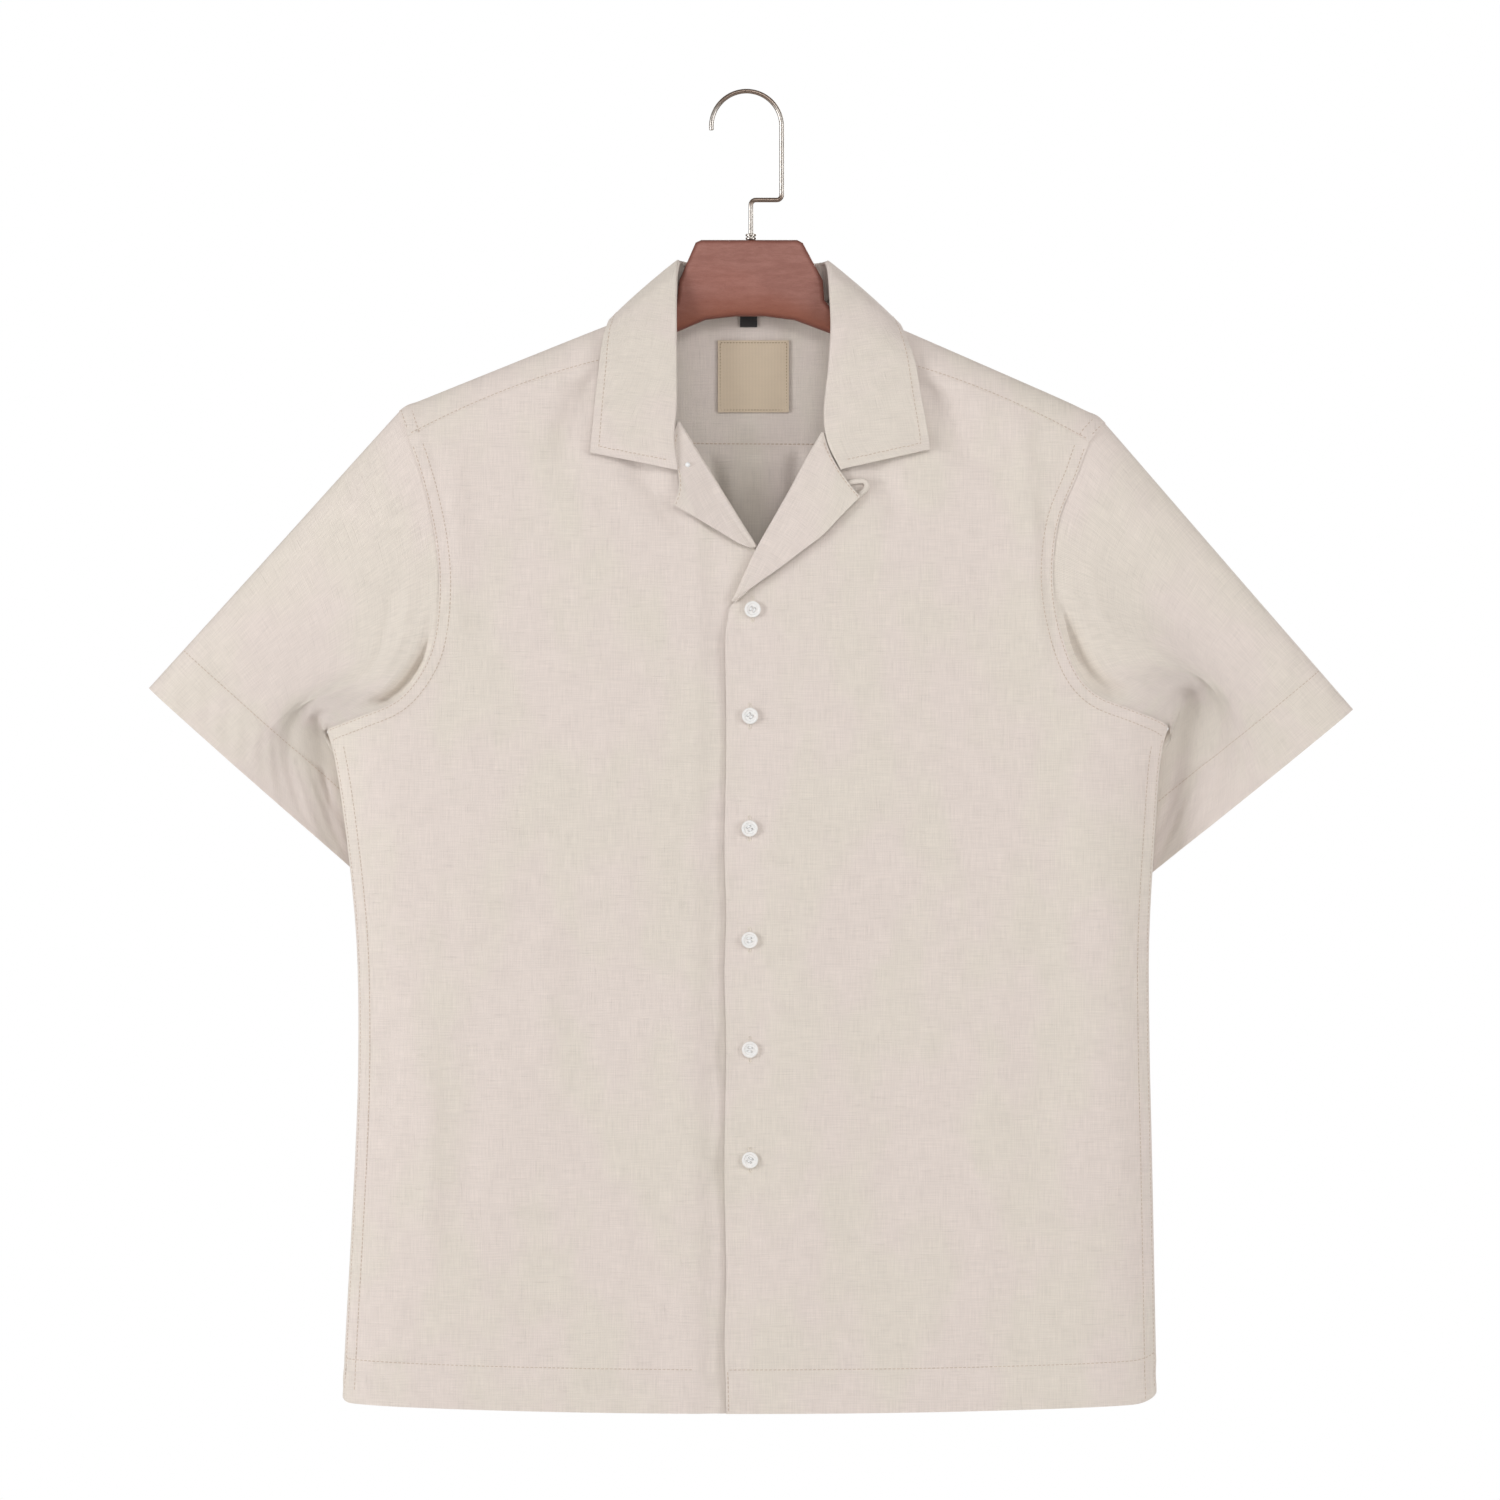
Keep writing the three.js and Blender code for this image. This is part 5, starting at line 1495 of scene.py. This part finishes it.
def wood_material():
    shader = Shader("stained_wood", Specular_IOR_Level=0.35, Coat_Roughness=0.45)
    place = shader.node("ShaderNodeTexCoord", output=3)
    warp = shader.noise(shader.stretch(place, 6, 6, 22), 1.0, 2)
    grain = shader.noise(shader.stretch(place, 60, 90, 240), 1.0, 5, 0.7)
    pores = shader.noise(shader.stretch(place, 320, 500, 2600, (3, 1, 7)), 1.0, 2)
    speck = shader.noise(place, 2300, 2, 0.7)
    x, depth, z = [1000 * axis for axis in shader.axes(place, 0, 1, 2)]
    # Painted shade: the colour darkens on the flanks and in a band along the lower edge, where
    # the light falls off. The flanks also get more coat.
    flank_shade_and_coat = 1 - depth.math("ABSOLUTE").between(4.4, 5.95)
    lower_edge_shade = 1 - (z + LOWER_EDGE_FALL * x * x - LOWER_EDGE_Z).between(-4, 24)
    dark, pale = (0.275, 0.11, 0.085, 1), (0.345, 0.155, 0.125, 1)
    color = shader.mix(grain.between(0.3, 0.72), dark, pale)
    color = shader.mix(warp.between(0.4, 0.7) * 0.5, color, (0.3, 0.1, 0.07, 1))
    color = shader.mix(lower_edge_shade * 0.85, color, (0.215, 0.062, 0.03, 1))
    color = shader.mix(flank_shade_and_coat * 0.85, color, (0.17, 0.042, 0.025, 1))
    pits = pores.between(0.6, 0.75)
    return shader.finish(
        Base_Color=shader.tint(color, 0.68 + 0.5 * speck - 0.16 * pits),
        Roughness=0.5 + 0.16 * grain,
        Coat_Weight=0.08 + 0.3 * flank_shade_and_coat,
        Normal=shader.bump(0.5 * grain - 0.6 * pits + 0.3 * speck, 0.00012),
    )


def finish_hard(piece, name, material, node):
    """Merges the doubled corners of the piece in edit mode, and makes it stand for a node."""
    bpy.ops.mesh.select_all(action="SELECT")
    bpy.ops.mesh.remove_doubles(threshold=MERGE)
    bpy.ops.mesh.normals_make_consistent(inside=False)
    bpy.ops.object.mode_set(mode="OBJECT")
    smooth_by_angle(piece)
    piece.name = piece.data.name = name
    piece.data.materials.clear()
    piece.data.materials.append(material)
    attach(piece, "root")
    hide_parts(node)


def copy_of_node(name):
    """A CAD node's shape as a new object at the origin, left in edit mode."""
    node = bpy.data.objects[name]
    mesh = node.data.copy()
    mesh.transform(node.matrix_world)
    piece = bpy.data.objects.new(f"{name}_shape", mesh)
    bpy.context.collection.objects.link(piece)
    bpy.ops.object.select_all(action="DESELECT")
    piece.select_set(True)
    bpy.context.view_layer.objects.active = piece
    bpy.ops.object.mode_set(mode="EDIT")
    return piece


body = copy_of_node("hanger_body")
finish_hard(body, "wooden_hanger_body", wood_material(), "hanger_body")


# ---------------------------------------------------------------- ferrule and hook
# A turned metal ferrule with a waist, and a hook bent from one length of 3.2 mm wire,
# both plated and polished, with dark reflections painted over the top of the hook and round its
# jog.
STEM_X = 0.6
# height and radius up the ferrule
FERRULE = [(-102.5, 2.9), (-102.2, 3.6), (-101.7, 3.75), (-101, 3.6), (-100.7, 2.6),
           (-100.2, 2.6), (-99.9, 3.6), (-99.2, 3.75), (-98.6, 3.6), (-98.3, 2.9)]
WIRE = 3.2
BEND = 3.5
HOOK_FOOT_Z = -98
JOG_Z, SHANK_X = -74.6, 22.15
HOOK_X, HOOK_Z, TIP_TURN = -2.45, -23, 3.24


def metal_material():
    shader = Shader("polished_metal", Metallic=1.0, Specular_Tint=(0.4, 0.36, 0.32, 1))
    place = shader.node("ShaderNodeTexCoord", output=3)
    cloud = shader.noise(place, 320, 3)
    scratch = shader.noise(shader.stretch(place, 2600, 2600, 160), 1.0, 2)
    z = 1000 * shader.axes(place, 2)[0]
    # Painted reflection: dark brown over the top of the hook's arc and round the jog, standing
    # for dark surroundings mirrored there.
    over = z.between(-14, -3)
    jog_reflection = 1 - (z - JOG_Z).math("ABSOLUTE").between(1.4, 6)
    dull = shader.mix(cloud.between(0.3, 0.7), (0.42, 0.39, 0.36, 1), (0.52, 0.485, 0.45, 1))
    color = shader.mix((over + jog_reflection) * 0.8, dull, (0.2, 0.135, 0.1, 1))
    return shader.finish(
        Base_Color=color,
        Roughness=0.24 + 0.14 * cloud,
        Normal=shader.bump(scratch + cloud, 0.00002),
    )


def first_ring(radius, x, z, vertices=24):
    """A filled ring to draw a piece out of, left in edit mode."""
    bpy.ops.object.select_all(action="DESELECT")
    bpy.ops.mesh.primitive_circle_add(
        vertices=vertices, radius=radius * MM, location=(x * MM, 0, z * MM)
    )
    piece = bpy.context.object
    bpy.ops.object.transform_apply(location=True)
    bpy.ops.object.mode_set(mode="EDIT")
    bpy.ops.mesh.select_all(action="SELECT")
    bpy.ops.mesh.edge_face_add()
    return piece


def push(x, z):
    """Draws the piece out straight."""
    move = {"value": (x * MM, 0, z * MM)}
    bpy.ops.mesh.extrude_region_move(TRANSFORM_OT_translate=move)


def bend(x, z, angle, steps):
    """Draws the piece out round a bend, by its centre and angle."""
    bpy.ops.mesh.spin(
        steps=steps, angle=angle, center=(x * MM, 0, z * MM), axis=(0, -1, 0), dupli=False
    )


metal = metal_material()
ferrule = first_ring(FERRULE[0][1], STEM_X, FERRULE[0][0], 40)
for (low_z, low_r), (high_z, high_r) in zip(FERRULE, FERRULE[1:]):
    push(0, high_z - low_z)
    grow = high_r / low_r
    bpy.ops.transform.resize(
        value=(grow, grow, 1), center_override=(STEM_X * MM, 0, high_z * MM)
    )
finish_hard(ferrule, "turned_ferrule", metal, "hanger_ferrule")

hook = first_ring(WIRE / 2, STEM_X, HOOK_FOOT_Z)
push(0, JOG_Z - BEND - HOOK_FOOT_Z)
bend(STEM_X + BEND, JOG_Z - BEND, math.pi / 2, 10)
push(SHANK_X - STEM_X - 2 * BEND, 0)
bend(SHANK_X - BEND, JOG_Z + BEND, -math.pi / 2, 10)
push(0, HOOK_Z - JOG_Z - BEND)
bend(HOOK_X, HOOK_Z, -TIP_TURN, 64)
bpy.ops.mesh.inset(thickness=0.5 * MM, depth=0.35 * MM)
finish_hard(hook, "wire_hook", metal, "hanger_hook")


# ---------------------------------------------------------------- stage, light, camera
# White all round and a pale floor well below, a soft light from above the camera, one at
# each side and one behind, and a camera far off, square to the shirt, as a catalogue shot
# has. Here everything is in metres.
VIEW_WIDTH = 1.05
CAMERA_FAR = 4.2
VIEW_HEIGHT = -0.4596
SENSOR = 36
FLOOR_HEIGHT = -1.7
FLOOR_SIZE = 4.4
GLOW = (1, 0.935, 0.87, 1)
GLOW_STRENGTH = 0.38
COOL = (0.96, 0.98, 1)
# place, target, size, watts and colour
LIGHTS = {
    "key": ((0.4, -2.6, 1.0), (0, 0, -0.6), (1.4, 0.8), 20, (0.98, 0.99, 1)),
    "left": ((-2.4, -1.4, -0.25), (-0.1, 0, -0.45), (1.0, 1.5), 45, COOL),
    "right": ((2.4, -1.6, -0.25), (0.1, 0, -0.45), (1.0, 1.5), 29, COOL),
    "behind": ((0.6, 2.6, 0.5), (0, 0, -0.5), (1.8, 1.2), 46, (1, 1, 1)),
}


def make_floor():
    shader = Shader("stage_white")
    place = shader.node("ShaderNodeTexCoord", output=3)
    haze = 0.97 + 0.05 * shader.noise(place, 1.3)
    color = shader.tint((0.8, 0.79, 0.78), haze)
    bpy.ops.object.select_all(action="DESELECT")
    bpy.ops.mesh.primitive_plane_add(size=FLOOR_SIZE, location=(0, 0.1, FLOOR_HEIGHT))
    floor = bpy.context.object
    bpy.ops.object.transform_apply(location=True)
    floor.name = floor.data.name = "stage_floor"
    floor.data.materials.append(shader.finish(Base_Color=color, Roughness=0.9))


def area_light(name, place, target, size, watts, color):
    light = bpy.data.lights.new(name, "AREA")
    light.shape = "RECTANGLE"
    light.size, light.size_y = size
    light.energy = watts
    light.color = color
    lamp = bpy.data.objects.new(name, light)
    lamp.location = place
    aim = Vector(target) - Vector(place)
    lamp.rotation_euler = aim.to_track_quat("-Z", "Y").to_euler()
    bpy.context.collection.objects.link(lamp)


def make_world():
    """White to the camera, and a weaker, warmer light to everything else."""
    world = bpy.data.worlds.new("studio")
    world.use_nodes = True
    tree = world.node_tree
    glow = tree.nodes["Background"]
    glow.inputs["Color"].default_value = GLOW
    glow.inputs["Strength"].default_value = GLOW_STRENGTH
    seen = tree.nodes.new("ShaderNodeBackground")
    seen.inputs["Color"].default_value = (1, 1, 1, 1)
    path = tree.nodes.new("ShaderNodeLightPath")
    mix = tree.nodes.new("ShaderNodeMixShader")
    tree.links.new(path.outputs["Is Camera Ray"], mix.inputs[0])
    tree.links.new(glow.outputs[0], mix.inputs[1])
    tree.links.new(seen.outputs[0], mix.inputs[2])
    tree.links.new(mix.outputs[0], tree.nodes["World Output"].inputs["Surface"])
    bpy.context.scene.world = world
    bpy.context.scene.view_settings.view_transform = "Standard"


def make_camera():
    data = bpy.data.cameras.new("camera")
    data.sensor_width = SENSOR
    data.lens = SENSOR * CAMERA_FAR / VIEW_WIDTH
    data.clip_end = 60
    camera = bpy.data.objects.new("camera", data)
    camera.location = (0, -CAMERA_FAR, VIEW_HEIGHT)
    camera.rotation_euler = (math.pi / 2, 0, 0)
    bpy.context.collection.objects.link(camera)
    bpy.context.scene.camera = camera


make_floor()
make_world()
for name, settings in LIGHTS.items():
    area_light(name, *settings)
make_camera()
